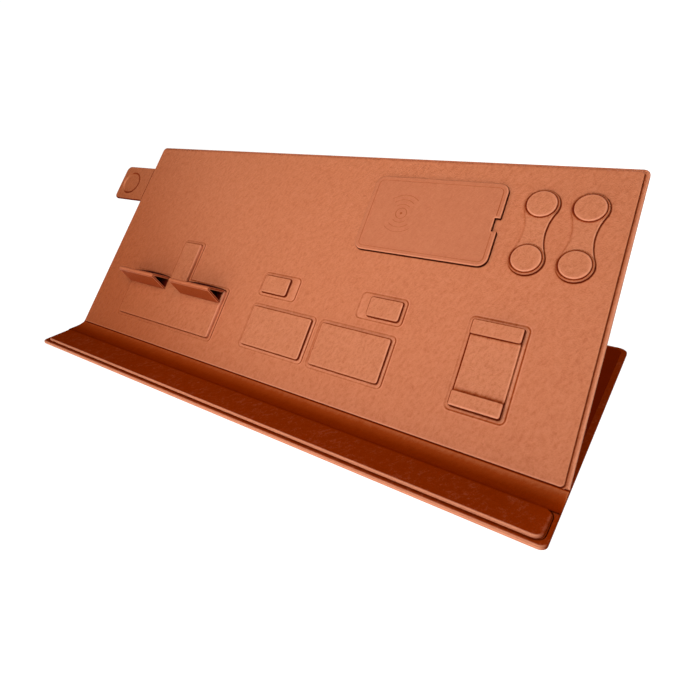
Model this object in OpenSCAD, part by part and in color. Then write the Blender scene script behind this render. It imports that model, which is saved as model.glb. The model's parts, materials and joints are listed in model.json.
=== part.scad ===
/* [Mat] */
// Width of the mat along the fold
mat_w = 700; // [660:1:900]
// Reach of the base behind the fold line
base_rear = 315; // [300:1:400]
// Reach of the base in front of the fold line
base_front = 71.5; // [66:0.5:90]
// Corner radius at the base's rear
base_rear_r = 12; // [6:0.5:20]
// Corner radius at the base's front
base_front_r = 7; // [4:0.5:12]
// Thickness of the non-slip underlay
underlay_t = 0.8; // [0.5:0.1:1.5]
// Thickness of the base's stiffening board
base_board_t = 1.6; // [1:0.1:3]
// Thickness of the base's leather
base_skin_t = 0.8; // [0.6:0.1:1.2]
// Thickness of the smooth liner that papers lie on
liner_t = 0.3; // [0.2:0.05:0.3]
// Margin around the liner
liner_inset = 6; // [4:0.5:14]

/* [Lip pad] */
// Margin between the pad and the base's sides
lip_side = 5.3; // [3:0.1:12]
// Margin between the pad and the base's front edge
lip_front = 6.5; // [4:0.1:10]
// Depth of the pad, front to rear
lip_depth = 36.5; // [28:0.5:40]
// Thickness of the pad's foam
lip_foam_t = 1.2; // [0.8:0.1:3]
// Thickness of the pad's leather
lip_skin_t = 0.8; // [0.5:0.1:1.2]
// Corner radius of the pad
lip_r = 8; // [4:0.5:12]
// Rounding of the pad's top edge
lip_edge = 1; // [0.4:0.1:1.4]

/* [Fold] */
// Angle of the open panel above the table
open_angle = 49.2; // [42:0.1:58]
// Height of the fold line above the table
fold_z = 7.5; // [7:0.1:12]
// Slope of the strip just in front of the fold
strip_slope = 15; // [8:1:20]
// Radius of the bend that takes the strip up into the panel
strip_bend_r = 6; // [4:0.5:8]

/* [Panel] */
// Length of the panel from the fold line to its free edge
panel_l = 312.4; // [305:0.5:360]
// Thickness of the panel's face leather
cover_t = 0.9; // [0.7:0.1:1.2]
// Thickness of the panel's back board
back_board_t = 0.8; // [0.6:0.1:1.6]
// Thickness of the panel's lining
lining_t = 0.8; // [0.5:0.1:1.2]
// Corner radius of the panel
panel_r = 6.5; // [4:0.5:12]
// Margin between the raised face and the panel's edges
slab_inset = 4.5; // [3:0.1:10]
// Height of the raised face above its margin
slab_h = 3; // [2.4:0.1:5]
// Corner radius of the raised face
slab_r = 3.6; // [2:0.1:8]
// Rounding of the raised face's top edge
slab_edge = 0.6; // [0.2:0.1:0.8]
// Depth of the shallow trays around the pads
tray_depth = 0.5; // [0.2:0.1:0.5]
// Width of the tray that shows around a pad
tray_gap = 4.2; // [2:0.1:5]
// Extra corner radius of a tray over its pad
tray_r_extra = 2.4; // [0.5:0.1:4]
// Thickness of the steel keeper plates
keeper_t = 0.6; // [0.4:0.1:1]
// Margin of a keeper plate inside the pad above it
keeper_inset = 5; // [3:0.5:8]

/* [Pads] */
// Height of the pads above the raised face
pad_h = 3.6; // [3:0.1:6]
// Corner radius of the pads
pad_r = 3.2; // [1.5:0.1:6]
// Rounding of the pads' top edges
pad_edge = 0.9; // [0.3:0.1:1.2]
// Thickness of the leather on pads, ties and boards
pad_skin_t = 0.8; // [0.5:0.1:0.9]
// Thickness of the magnets and plates inside the pads
pad_core_t = 1.6; // [1:0.1:1.8]
// Left end of the T pad's bar from the panel's left edge
t_left = 72.1; // [66:0.5:90]
// Lower edge of the T pad's bar above the fold line
t_low = 30.2; // [20:0.5:40]
// Width of the T pad's bar
t_bar_w = 183.5; // [170:0.5:200]
// Height of the T pad's bar
t_bar_h = 66.8; // [60:0.5:76]
// Width of the T pad's stem
t_stem_w = 32.5; // [24:0.5:44]
// Length of the T pad's stem above its bar
t_stem_l = 57.5; // [30:0.5:80]
// Width of a card pad
card_w = 89.5; // [80:0.5:92]
// Height of a card pad
card_l = 51.1; // [44:0.5:56]
// Lower edge of the card pads above the fold line
card_low = 37; // [20:0.5:44]
// Gap between the two card pads
card_gap = 14.3; // [11:0.1:20]
// Distance of the card pads' middle from the mat's middle
cards_off = 57; // [40:0.5:66]
// Width of a sliding block
block_w = 40; // [34:0.5:46]
// Height of a sliding block
block_l = 23.3; // [18:0.5:30]
// Travel of a block along its tray
block_travel = 9; // [4:0.1:12]
// Lower edge of the blocks above the fold line
block_low = 107.6; // [104:0.5:130]

/* [Ledges] */
// Length of each ledge board from hinge to hinge
ledge_l = 29; // [24:0.5:30]
// Distance between the two feet of an open ledge
ledge_spread = 13.5; // [8:0.5:18]
// Thickness of a ledge board
ledge_t = 2.8; // [2:0.1:3.2]
// Corner radius of a ledge board's free edge
ledge_r = 2; // [0.5:0.5:4]
// Gap between the two ledges, over the T pad's stem
ledge_gap = 33; // [20:0.5:44]
// Thickness of the magnet strip inside a front board
ledge_magnet_t = 1.2; // [0.8:0.1:1.4]
// Width of the magnet strip
ledge_magnet_w = 8; // [5:0.5:12]

/* [Charger] */
// Width of the charging plate
charger_w = 159.2; // [140:0.5:164]
// Height of the charging plate
charger_l = 98.3; // [86:0.5:104]
// Right edge of the plate from the panel's right edge
charger_right = 123; // [118:0.5:140]
// Upper edge of the plate below the panel's free edge
charger_drop = 29.4; // [22:0.5:40]
// Corner radius of the plate
charger_r = 10.8; // [6:0.2:16]
// Thickness of the leather on the plate's face
charger_skin_t = 0.5; // [0.4:0.1:0.9]
// Rounding of the plate's top edge
charger_edge = 0.5; // [0.2:0.1:0.8]
// Inset of the groove around the plate's face
charger_groove_inset = 4.5; // [3:0.1:7]
// Width of the grooves pressed into the plate's face
charger_groove_w = 1.1; // [0.6:0.1:1.6]
// Depth of the grooves pressed into the plate's face
charger_groove_d = 0.35; // [0.2:0.05:0.5]
// Wall of the charger's tray
charger_wall = 1.6; // [1:0.1:2.5]
// Floor of the charger's tray
charger_floor = 0.8; // [0.6:0.1:1]
// Width of the charging port's shell
port_w = 8.9; // [8:0.1:10]
// Height of the charging port's shell
port_h = 3.2; // [3:0.1:4]
// Depth of the charging port's shell
port_l = 7.4; // [6:0.1:9]
// Wall of the charging port's shell
port_wall = 0.3; // [0.2:0.05:0.4]
// Width of the cable notch along the plate's edge
notch_w = 15.7; // [12:0.1:20]
// Depth of the cable notch into the plate
notch_d = 5.8; // [5:0.1:8]
// Centre of the cable notch above the plate's centre
notch_up = 0.1; // [-20:0.1:20]
// Diameter of the charging coil
coil_d = 50; // [40:1:60]
// Bore of the charging coil
coil_bore_d = 20; // [12:1:30]
// Thickness of the charging coil
coil_t = 1; // [0.6:0.1:1.2]
// Thickness of the ferrite sheet under the coil
ferrite_t = 0.6; // [0.4:0.1:0.8]
// Distance of the coil's centre from the plate's left edge
coil_from_left = 46; // [36:0.5:60]
// Centre of the coil above the plate's centre
coil_up = 2; // [-10:0.5:10]
// Diameter of the icon's ring
icon_ring_d = 13.5; // [8:0.5:16]
// Radius of the icon's first wave
icon_wave_r = 11.7; // [9:0.1:14]
// Distance between the icon's waves
icon_wave_step = 6.1; // [4:0.1:8]
// Angle that each wave of the icon covers
icon_wave_angle = 84; // [50:1:110]

/* [Cable ties] */
// Distance of the outer tie from the panel's right edge
tie_from_right = 42; // [34:0.5:44]
// Distance between the two ties
tie_pitch = 45.1; // [42:0.1:52]
// Centre of a tie below the panel's free edge
tie_drop = 80.4; // [72:0.1:120]
// Distance between the two discs of a tie
tie_span = 61.7; // [52:0.1:76]
// Diameter of a tie's strap around a disc
tie_end_d = 34.5; // [32:0.1:38]
// Width of a tie's waist
tie_waist_w = 20.9; // [14:0.1:24]
// Thickness of a tie's strap
tie_strap_t = 2.3; // [1.8:0.1:3]
// Diameter of a tie's disc
tie_disc_d = 30.2; // [24:0.1:31]
// Height of a disc above the strap
tie_disc_h = 2; // [1.6:0.1:4]
// Length of the part of the strap that bends
tie_bend_l = 20; // [16:0.5:22]
// Diameter of the magnet inside a disc
tie_magnet_d = 20; // [10:0.5:24]
// Thickness of the magnet inside a disc
tie_magnet_t = 1.5; // [1:0.1:1.5]

/* [Bar clip] */
// Distance of the clip's centre from the panel's right edge
clip_from_right = 93.5; // [90:0.5:120]
// Width of the clip
clip_w = 50.4; // [36:0.2:54]
// Lower edge of the clip above the fold line
clip_low = 38.8; // [20:0.5:44]
// Length of the clip, over both bars
clip_l = 90; // [76:0.5:100]
// Height of the clip's plate above the raised face
clip_plate_h = 3; // [2:0.1:4]
// Height of the bars above the plate
clip_bar_h = 3; // [2:0.1:5]
// Width of a bar
clip_bar_w = 15.5; // [10:0.5:20]
// Corner radius of a bar
clip_bar_r = 2.4; // [1:0.1:5]
// Drop of the dished plate between the bars
clip_dish = 1; // [0.4:0.1:1.6]

/* [Side tab] */
// Distance the open tab stands out from the panel's left edge
tab_out = 71; // [60:0.5:80]
// Travel of the tab into its pocket
tab_travel = 62; // [40:0.5:66]
// Width of the tab along the panel
tab_w = 60.8; // [50:0.2:66]
// Centre of the tab below the panel's free edge
tab_drop = 69.3; // [62:0.1:110]
// Thickness of the tab
tab_t = 2.4; // [2:0.1:3]
// Corner radius of the tab
tab_r = 8.5; // [4:0.5:14]
// Length of the tab's wide foot, which its pocket traps
tab_foot_l = 12; // [8:0.5:20]
// Overhang of the foot on each side
tab_foot_side = 5; // [3:0.5:8]
// Length of tab that stays inside the pocket's mouth when open
tab_inside = 26; // [22:0.5:40]
// Width of the pocket's rim
pocket_rim = 6; // [4:0.5:10]
// Thickness of the pocket's back
pocket_t = 0.7; // [0.5:0.1:1]
// Diameter of the round dimple in the tab
dimple_d = 40; // [30:0.5:46]
// Depth of the dimple
dimple_depth = 0.7; // [0.3:0.1:0.8]
// Distance of the dimple's centre from the panel's left edge
dimple_out = 45; // [42:0.5:46]
// Thickness of the disc behind the dimple
tab_disc_t = 0.8; // [0.5:0.1:0.9]

/* [Fits] */
// Gap between pieces that move past each other
run_gap = 0.3; // [0.2:0.05:0.5]
// Gap between the tab and its pocket
tab_gap = 0.2; // [0.15:0.05:0.4]
// Gap under the pads and ties that lift off
seat_gap = 0.1; // [0.05:0.05:0.3]

/* [Hidden] */

// Facets of a true round, and of the corners inside a hull
round_fn = 64;
corner_fn = 32;
// Overrun of a cut past the face that it opens
cut = 1;
// Share of an edge's rounding that its middle step takes
edge_share = 0.3;

// Levels of the base, from the table up
base_board_z = underlay_t;
base_skin_z = base_board_z + base_board_t;
base_t = base_skin_z + base_skin_t;
base_l = base_front + base_rear;
crease_y = -(base_front - lip_front - lip_depth);

// Levels of the panel, along its outward normal from the margin's face
back_board_n = -cover_t - back_board_t;
lining_n = back_board_n - lining_t;
slab_w = mat_w - 2 * slab_inset;
slab_l = panel_l - slab_inset;
tray_n = slab_h - tray_depth;
pad_top_n = slab_h + pad_h;
pad_body_h = pad_top_n - tray_n;
face_board_h = slab_h - cover_t;

// Places on the panel, across from mid-width and up from the fold line
t_mid = -mat_w / 2 + t_left + t_bar_w / 2;
t_top = t_low + t_bar_h;
card_mid = (card_w + card_gap) / 2;
block_mid = card_mid + (card_w - block_w) / 2;
charger_mid_x = mat_w / 2 - charger_right - charger_w / 2;
charger_mid_v = panel_l - charger_drop - charger_l / 2;
clip_mid_x = mat_w / 2 - clip_from_right;
tie_right_x = mat_w / 2 - tie_from_right;
tie_mid = panel_l - tie_drop;
tab_mid = panel_l - tab_drop;
tie_left_x = tie_right_x - tie_pitch;

// Stands what it holds on the open panel: across, up the panel, out of its face
module on_panel() {
    translate([0, 0, fold_z]) rotate([open_angle, 0, 0]) children();
}

// Outline of a rectangle with rounded corners, centred
module rounded_rect(w, l, r) {
    square([w - 2 * r, l], center = true);
    square([w, l - 2 * r], center = true);
    for (x = [-1, 1], y = [-1, 1])
        translate([x * (w / 2 - r), y * (l / 2 - r)]) circle(r, $fn = round_fn);
}

// Outline of a sheet that runs up from its lower edge, with its own radius at each end
module sheet_outline(w, l, r_low, r_high) {
    translate([-w / 2 + r_low, 0]) square([w - 2 * r_low, l / 2]);
    translate([-w / 2, r_low]) square([w, l - r_low - r_high]);
    translate([-w / 2 + r_high, l / 2]) square([w - 2 * r_high, l / 2]);
    for (x = [-1, 1]) {
        translate([x * (w / 2 - r_low), r_low]) circle(r_low, $fn = round_fn);
        translate([x * (w / 2 - r_high), l - r_high]) circle(r_high, $fn = round_fn);
    }
}

// Plate with a rounded top edge, centred, standing on its lower face
module soft_plate(w, l, h, r, edge) {
    hull()
        for (x = [-1, 1], y = [-1, 1])
            translate([x * (w / 2 - r), y * (l / 2 - r), 0]) {
                cylinder(h - edge, r = r, $fn = corner_fn);
                cylinder(h - edge * edge_share, r = r - edge * edge_share, $fn = corner_fn);
                cylinder(h, r = r - edge, $fn = corner_fn);
            }
}

// Sheet of the panel that keeps a margin from the panel's edges, square at the fold
module panel_outline(inset) {
    w = mat_w - 2 * inset;
    l = panel_l - 2 * inset;
    r = panel_r - inset;
    translate([-w / 2, inset]) square([w, l - r]);
    translate([-w / 2 + r, inset]) square([w - 2 * r, l]);
    for (x = [-1, 1]) translate([x * (w / 2 - r), inset + l - r]) circle(r, $fn = round_fn);
}

// Base, from the table up

module base_underlay() {
    color("dimgray")
    translate([0, -base_front, 0])
    linear_extrude(underlay_t) sheet_outline(mat_w, base_l, base_front_r, base_rear_r);
}

module base_board_solid(extra) {
    translate([0, -base_front + base_skin_t, base_board_z - extra])
    linear_extrude(base_board_t + extra)
    sheet_outline(mat_w - 2 * base_skin_t, base_l - 2 * base_skin_t,
                  base_front_r - base_skin_t, base_rear_r - base_skin_t);
}

module base_board() {
    color("burlywood") base_board_solid(0);
}

module base_cover() {
    color("sienna")
    difference() {
        translate([0, -base_front, base_board_z])
        linear_extrude(base_board_t + base_skin_t)
        sheet_outline(mat_w, base_l, base_front_r, base_rear_r);
        base_board_solid(cut);
    }
}

module document_liner() {
    w = mat_w - 2 * liner_inset;
    l = base_rear - 2 * liner_inset;
    r = max(base_rear_r - liner_inset, liner_inset / 2);
    color("saddlebrown")
    translate([0, liner_inset + l / 2, base_t])
    linear_extrude(liner_t) rounded_rect(w, l, r);
}

module on_lip() {
    translate([0, crease_y - lip_depth / 2, base_t]) children();
}

module lip_foam_solid(extra) {
    translate([0, 0, -extra])
    linear_extrude(lip_foam_t + extra)
    rounded_rect(mat_w - 2 * lip_side - 2 * lip_skin_t, lip_depth - 2 * lip_skin_t, lip_r - lip_skin_t);
}

module lip_foam() {
    color("khaki") on_lip() lip_foam_solid(0);
}

module lip_pad() {
    color("sienna")
    on_lip()
    difference() {
        soft_plate(mat_w - 2 * lip_side, lip_depth, lip_foam_t + lip_skin_t, lip_r, lip_edge);
        lip_foam_solid(cut);
    }
}

// Fold strip: flat on the base, then a gentle rise, then a tight bend up into the panel

strip_top_z = base_t + cover_t;
bend_start_y = -strip_bend_r * (sin(open_angle) - sin(strip_slope));
bend_start_z = fold_z - strip_bend_r * (cos(strip_slope) - cos(open_angle));
rise_r = (bend_start_z - strip_top_z) / (1 - cos(strip_slope));
rise_start_y = bend_start_y - rise_r * sin(strip_slope);
strip_steps = 8;

// Point of the strip at slope a, a depth below its top: on the rise, then on the bend
function rise_point(a, depth) =
    [rise_start_y + (rise_r + depth) * sin(a), strip_top_z + rise_r - (rise_r + depth) * cos(a)];
function bend_point(a, depth) =
    [bend_start_y - strip_bend_r * sin(strip_slope) + (strip_bend_r + depth) * sin(a),
     bend_start_z + strip_bend_r * cos(strip_slope) - (strip_bend_r + depth) * cos(a)];
function strip_line(depth) = concat(
    [[crease_y, strip_top_z - depth]],
    [for (i = [0:strip_steps - 1]) rise_point(strip_slope * i / strip_steps, depth)],
    [for (i = [0:strip_steps])
        bend_point(strip_slope + (open_angle - strip_slope) * i / strip_steps, depth)]);
function reversed(list) = [for (i = [len(list) - 1:-1:0]) list[i]];

module fold_strip() {
    color("sienna")
    rotate([90, 0, 90])
    linear_extrude(mat_w, center = true)
    polygon(concat(strip_line(0), reversed(strip_line(cover_t))));
}

// Panel's back: leather turned over a board, and a lining with the side tab's pocket

module back_board_solid(extra) {
    translate([0, 0, back_board_n - extra])
    linear_extrude(back_board_t + extra) panel_outline(cover_t);
}

module back_board() {
    color("burlywood") on_panel() back_board_solid(0);
}

module panel_cover() {
    color("peru")
    on_panel()
    difference() {
        translate([0, 0, back_board_n]) linear_extrude(back_board_t + cover_t) panel_outline(0);
        back_board_solid(cut);
    }
}

tab_top_n = back_board_n - tab_gap;
tab_back_n = tab_top_n - tab_t;
pocket_in_n = tab_back_n - tab_gap;
pocket_n = pocket_in_n - pocket_t;
pocket_in_w = tab_w + 2 * tab_foot_side + 2 * tab_gap;
pocket_in_l = tab_inside + tab_travel + tab_gap;
mouth_l = tab_inside - tab_foot_l - tab_gap;
pocket_w = pocket_in_w + 2 * pocket_rim;
pocket_l = pocket_in_l + pocket_rim;

// Pocket's footprint: square at the panel's left edge, rounded at its inner end
module pocket_outline() {
    translate([-mat_w / 2, tab_mid]) {
        translate([0, -pocket_w / 2]) square([pocket_l - pocket_rim, pocket_w]);
        translate([0, -pocket_w / 2 + pocket_rim]) square([pocket_l, pocket_w - 2 * pocket_rim]);
        for (v = [-1, 1])
            translate([pocket_l - pocket_rim, v * (pocket_w / 2 - pocket_rim)])
            circle(pocket_rim, $fn = round_fn);
    }
}

module panel_lining() {
    color("saddlebrown")
    on_panel()
    translate([0, 0, lining_n])
    linear_extrude(lining_t)
    difference() {
        panel_outline(0);
        pocket_outline();
    }
}

module tab_pocket() {
    color("saddlebrown")
    on_panel()
    difference() {
        translate([0, 0, pocket_n]) linear_extrude(back_board_n - pocket_n) pocket_outline();
        translate([-mat_w / 2 + mouth_l, tab_mid - pocket_in_w / 2, pocket_in_n])
            cube([pocket_in_l - mouth_l, pocket_in_w, back_board_n - pocket_in_n + cut]);
        translate([-mat_w / 2 - cut, tab_mid - tab_w / 2 - tab_gap, pocket_in_n])
            cube([mouth_l + 2 * cut, tab_w + 2 * tab_gap, back_board_n - pocket_in_n + cut]);
    }
}

// Side tab: rounded outer end, wide foot inside the pocket, round dimple over a disc

module tab_disc_solid() {
    translate([-mat_w / 2 - dimple_out, tab_mid, tab_back_n + (tab_t - dimple_depth - tab_disc_t) / 2])
    cylinder(tab_disc_t, d = dimple_d, $fn = round_fn);
}

module tab_disc() {
    color("silver") on_panel() tab_disc_solid();
}

module side_tab() {
    color("peru")
    on_panel()
    difference() {
        translate([-mat_w / 2, tab_mid, tab_back_n])
        linear_extrude(tab_t) {
            translate([-tab_out + tab_r, -tab_w / 2]) square([tab_out + tab_inside - tab_r, tab_w]);
            translate([-tab_out, -tab_w / 2 + tab_r]) square([tab_out, tab_w - 2 * tab_r]);
            for (v = [-1, 1])
                translate([-tab_out + tab_r, v * (tab_w / 2 - tab_r)]) circle(tab_r, $fn = round_fn);
            translate([tab_inside - tab_foot_l, -tab_w / 2 - tab_foot_side])
                square([tab_foot_l, tab_w + 2 * tab_foot_side]);
        }
        translate([-mat_w / 2 - dimple_out, tab_mid, tab_top_n - dimple_depth])
            cylinder(dimple_depth + cut, d = dimple_d, $fn = round_fn);
        tab_disc_solid();
    }
}

// Raised face of the panel: leather over a board, with trays for the pads, a well for the
// charger, and steel keepers for whatever sticks on by magnet

module at_block(side) {
    translate([cards_off + side * block_mid, block_low + block_l / 2, 0]) children();
}

module at_card(side) {
    translate([cards_off + side * card_mid, card_low + card_l / 2, 0]) children();
}

module at_clip() {
    translate([clip_mid_x, clip_low + clip_l / 2, 0]) children();
}

module at_charger() {
    translate([charger_mid_x, charger_mid_v, 0]) children();
}

module tray(w, l) {
    translate([0, 0, tray_n])
    linear_extrude(tray_depth + cut)
    rounded_rect(w + 2 * tray_gap, l + 2 * tray_gap, pad_r + tray_r_extra);
}

module trays() {
    for (side = [-1, 1]) {
        at_card(side) tray(card_w, card_l);
        at_block(side) translate([-side * block_travel / 2, 0, 0]) tray(block_w + block_travel, block_l);
    }
    at_clip() tray(clip_w, clip_l);
    translate([t_mid, t_low + t_bar_h / 2, 0]) tray(t_bar_w, t_bar_h);
    translate([t_mid, t_low + (t_bar_h + t_stem_l) / 2, 0]) tray(t_stem_w, t_bar_h + t_stem_l);
}

// Charging plate's outline, with the cable notch in its right edge
module charger_outline() {
    difference() {
        rounded_rect(charger_w, charger_l, charger_r);
        translate([notch_x, notch_up - notch_w / 2]) square([notch_d + cut, notch_w]);
    }
}

module charger_well() {
    at_charger() translate([0, 0, -cut]) linear_extrude(slab_h + 2 * cut) charger_outline();
}

module keeper(w, l) {
    translate([0, 0, face_board_h - keeper_t])
    linear_extrude(keeper_t) rounded_rect(w - 2 * keeper_inset, l - 2 * keeper_inset, pad_r);
}

module keepers() {
    for (side = [-1, 1]) {
        at_card(side) keeper(card_w, card_l);
        at_block(side) translate([-side * block_travel / 2, 0, 0]) keeper(block_w + block_travel, block_l);
    }
    at_clip() keeper(clip_w, clip_l);
    for (x = [tie_left_x, tie_right_x])
        translate([x, tie_mid, 0]) keeper(tie_end_d, tie_span + tie_end_d);
}

module face_board_solid(extra) {
    translate([0, slab_l / 2, -extra])
    linear_extrude(face_board_h + extra)
    rounded_rect(slab_w - 2 * cover_t, slab_l - 2 * cover_t, slab_r - cover_t);
}

module face_board() {
    color("burlywood")
    on_panel()
    difference() {
        face_board_solid(0);
        keepers();
        charger_well();
    }
}

module face_cover() {
    color("peru")
    on_panel()
    difference() {
        translate([0, slab_l / 2, 0]) soft_plate(slab_w, slab_l, slab_h, slab_r, slab_edge);
        face_board_solid(cut);
        charger_well();
        trays();
    }
}

module keeper_plates() {
    color("silver") on_panel() keepers();
}

// Wireless charger: a tray in the face's well, parts inside it, and a leather face

charger_top_n = slab_h + port_h + charger_skin_t;
charger_tray_n = slab_h + port_h;
notch_x = charger_w / 2 - notch_d;
coil_x = -charger_w / 2 + coil_from_left;

// Block at the plate's right edge, around the notch, with a margin on its closed sides
module notch_block(margin, low, high) {
    translate([notch_x - margin, notch_up - notch_w / 2 - margin, low])
    cube([notch_d + margin + cut, notch_w + 2 * margin, high - low]);
}

module port_outline(w, h) {
    square([w - h, h], center = true);
    for (x = [-1, 1]) translate([x * (w - h) / 2, 0]) circle(d = h, $fn = round_fn);
}

// Stands a solid in the notch's closed side, running in from its mouth
module at_port() {
    translate([notch_x, notch_up, slab_h + port_h / 2]) rotate([90, 0, 90]) children();
}

module charger_tray() {
    in_w = charger_w - 2 * charger_wall;
    in_l = charger_l - 2 * charger_wall;
    color([0.08, 0.08, 0.08])
    on_panel()
    at_charger()
    difference() {
        linear_extrude(charger_tray_n) charger_outline();
        difference() {
            translate([0, 0, charger_floor])
            linear_extrude(charger_tray_n) rounded_rect(in_w, in_l, charger_r - charger_wall);
            notch_block(charger_wall, 0, charger_tray_n + cut);
        }
        at_port() translate([0, 0, -port_l]) linear_extrude(port_l + cut) port_outline(port_w, port_h);
    }
}

module charger_coil() {
    color("orange")
    on_panel()
    at_charger()
    translate([coil_x, coil_up, charger_tray_n - coil_t])
    difference() {
        cylinder(coil_t, d = coil_d, $fn = round_fn);
        translate([0, 0, -cut]) cylinder(coil_t + 2 * cut, d = coil_bore_d, $fn = round_fn);
    }
}

module ferrite_sheet() {
    color("dimgray")
    on_panel()
    at_charger()
    translate([coil_x, coil_up, charger_tray_n - coil_t - ferrite_t])
    cylinder(ferrite_t, d = coil_d, $fn = round_fn);
}

// Length and width of the charger's circuit board, as shares of the port's width
circuit_shares = [4.5, 3.2];
circuit_w = port_w * circuit_shares[0];
circuit_l = port_w * circuit_shares[1];
circuit_h = slab_h - charger_floor;

module charger_circuit_board() {
    color("darkgreen")
    on_panel()
    at_charger()
    translate([notch_x - charger_wall - circuit_w, notch_up - circuit_l / 2, charger_floor])
    difference() {
        cube([circuit_w, circuit_l, circuit_h]);
        translate([circuit_w - port_l, circuit_l / 2 - port_w / 2, circuit_h - port_wall])
            cube([port_l + cut, port_w, port_h]);
    }
}

module usb_c_socket() {
    color("silver")
    on_panel()
    at_charger()
    at_port()
    translate([0, 0, -port_l]) {
        difference() {
            linear_extrude(port_l) port_outline(port_w, port_h);
            translate([0, 0, port_wall])
            linear_extrude(port_l) port_outline(port_w - 2 * port_wall, port_h - 2 * port_wall);
        }
        linear_extrude(port_l - 3 * port_wall) square([port_w - port_h, 2 * port_wall], center = true);
    }
}

module groove_arc(r, angle) {
    rotate([0, 0, 90 - angle / 2])
    rotate_extrude(angle = angle, $fn = round_fn)
    translate([r - charger_groove_w / 2, 0]) square([charger_groove_w, charger_groove_d + cut]);
}

module charger_face() {
    r = charger_r - charger_groove_inset;
    w = charger_w - 2 * charger_groove_inset;
    l = charger_l - 2 * charger_groove_inset;
    color("peru")
    on_panel()
    at_charger()
    translate([0, 0, charger_tray_n])
    difference() {
        soft_plate(charger_w, charger_l, charger_skin_t, charger_r, charger_edge);
        notch_block(0, -cut, charger_skin_t + cut);
        translate([0, 0, charger_skin_t - charger_groove_d]) {
            linear_extrude(charger_groove_d + cut)
            difference() {
                rounded_rect(w, l, r);
                rounded_rect(w - 2 * charger_groove_w, l - 2 * charger_groove_w, r - charger_groove_w);
                translate([notch_x - 2 * charger_groove_w, notch_up - notch_w / 2 - charger_groove_w])
                    square([notch_d, notch_w + 2 * charger_groove_w]);
            }
            translate([coil_x, coil_up, 0]) {
                groove_arc(icon_ring_d / 2, 360);
                cylinder(charger_groove_d + cut, d = icon_ring_d / 4, $fn = round_fn);
                for (turn = [0, 180], i = [0:2])
                    rotate([0, 0, turn]) groove_arc(icon_wave_r + i * icon_wave_step, icon_wave_angle);
            }
        }
    }
}

// T pad: leather over a steel plate that the ledges' magnets hold to

module t_pad_plate_solid() {
    translate([t_mid, 0, tray_n + pad_skin_t])
    linear_extrude(pad_core_t) {
        translate([0, t_low + t_bar_h / 2])
            rounded_rect(t_bar_w - 2 * keeper_inset, t_bar_h - 2 * keeper_inset, pad_r);
        translate([0, t_low + (t_bar_h + t_stem_l) / 2])
            rounded_rect(t_stem_w - 2 * keeper_inset, t_bar_h + t_stem_l - 2 * keeper_inset, pad_r);
    }
}

module t_pad_plate() {
    color("silver") on_panel() t_pad_plate_solid();
}

module t_pad() {
    color("peru")
    on_panel()
    difference() {
        translate([t_mid, 0, tray_n]) {
            translate([0, t_low + t_bar_h / 2, 0]) soft_plate(t_bar_w, t_bar_h, pad_body_h, pad_r, pad_edge);
            translate([0, t_low + (t_bar_h + t_stem_l) / 2, 0])
                soft_plate(t_stem_w, t_bar_h + t_stem_l, pad_body_h, pad_r, pad_edge);
        }
        t_pad_plate_solid();
    }
}

// Ledges: two boards each, hinged at the T pad and at the tip, that stand up as a wedge and
// fold flat on the bar. Rest is open. A board's frame runs from one hinge to the next, with
// its thickness on the outer side.

ledge_w = (t_bar_w - ledge_gap) / 2;
ledge_mid = (ledge_gap + ledge_w) / 2;
ledge_angle = acos(ledge_spread / 2 / ledge_l);
ledge_root_v = t_top - ledge_t;
ledge_root_n = pad_top_n + run_gap;
board_run = ledge_l - run_gap;

module at_ledge_root(side, turn) {
    translate([t_mid + side * ledge_mid, ledge_root_v, ledge_root_n]) rotate([turn, 0, 0]) children();
}

// Frame of a front board, hinged at the far end of the top board
module at_ledge_tip(side) {
    at_ledge_root(side, 180 - ledge_angle)
    translate([0, ledge_l, 0]) rotate([2 * ledge_angle, 0, 0]) children();
}

module ledge_board() {
    translate([0, ledge_l / 2, -ledge_t]) linear_extrude(ledge_t) rounded_rect(ledge_w, board_run, ledge_r);
}

module ledge_magnet_solid() {
    inset = pad_skin_t + run_gap;
    translate([-ledge_w / 2 + inset, ledge_l - inset - ledge_magnet_w, -(ledge_t + ledge_magnet_t) / 2])
        cube([ledge_w - 2 * inset, ledge_magnet_w, ledge_magnet_t]);
}

module ledge_top_board(side) {
    color("peru") on_panel() at_ledge_root(side, 180 - ledge_angle) ledge_board();
}

module ledge_front_board(side) {
    color("peru")
    on_panel()
    at_ledge_tip(side)
    difference() {
        ledge_board();
        ledge_magnet_solid();
    }
}

module ledge_magnet(side) {
    color("gray") on_panel() at_ledge_tip(side) ledge_magnet_solid();
}

// Leather that closes the wedge's tip, in the shallow valley between the boards' ends
module ledge_crease(side) {
    half = ledge_t * sin(ledge_angle);
    rise = ledge_t * cos(ledge_angle);
    color("peru")
    on_panel()
    at_ledge_root(side, 0)
    translate([0, -ledge_spread / 2, ledge_l * sin(ledge_angle)])
    rotate([90, 0, 90])
    linear_extrude(ledge_w - 2 * ledge_r, center = true)
    polygon([[0, run_gap / 2], [half, rise + run_gap / 2], [half, rise + pad_skin_t],
             [-half, rise + pad_skin_t], [-half, rise + run_gap / 2]]);
}

// Pads that hold on by magnet: two blocks that slide along their trays, and two card pads

pad_seat_n = tray_n + seat_gap;
pad_lift_h = pad_top_n - pad_seat_n;

module lift_pad(w, l) {
    translate([0, 0, pad_seat_n]) soft_plate(w, l, pad_lift_h, pad_r, pad_edge);
}

module pad_core(w, l) {
    translate([0, 0, pad_seat_n + pad_skin_t]) linear_extrude(pad_core_t) rounded_rect(w, l, pad_r / 2);
}

module block_core() {
    pad_core(block_w - 2 * keeper_inset, block_l - 2 * keeper_inset);
}

module block(side) {
    color("peru")
    on_panel()
    at_block(side)
    difference() {
        lift_pad(block_w, block_l);
        block_core();
    }
}

module block_magnet(side) {
    color("gray") on_panel() at_block(side) block_core();
}

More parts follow.
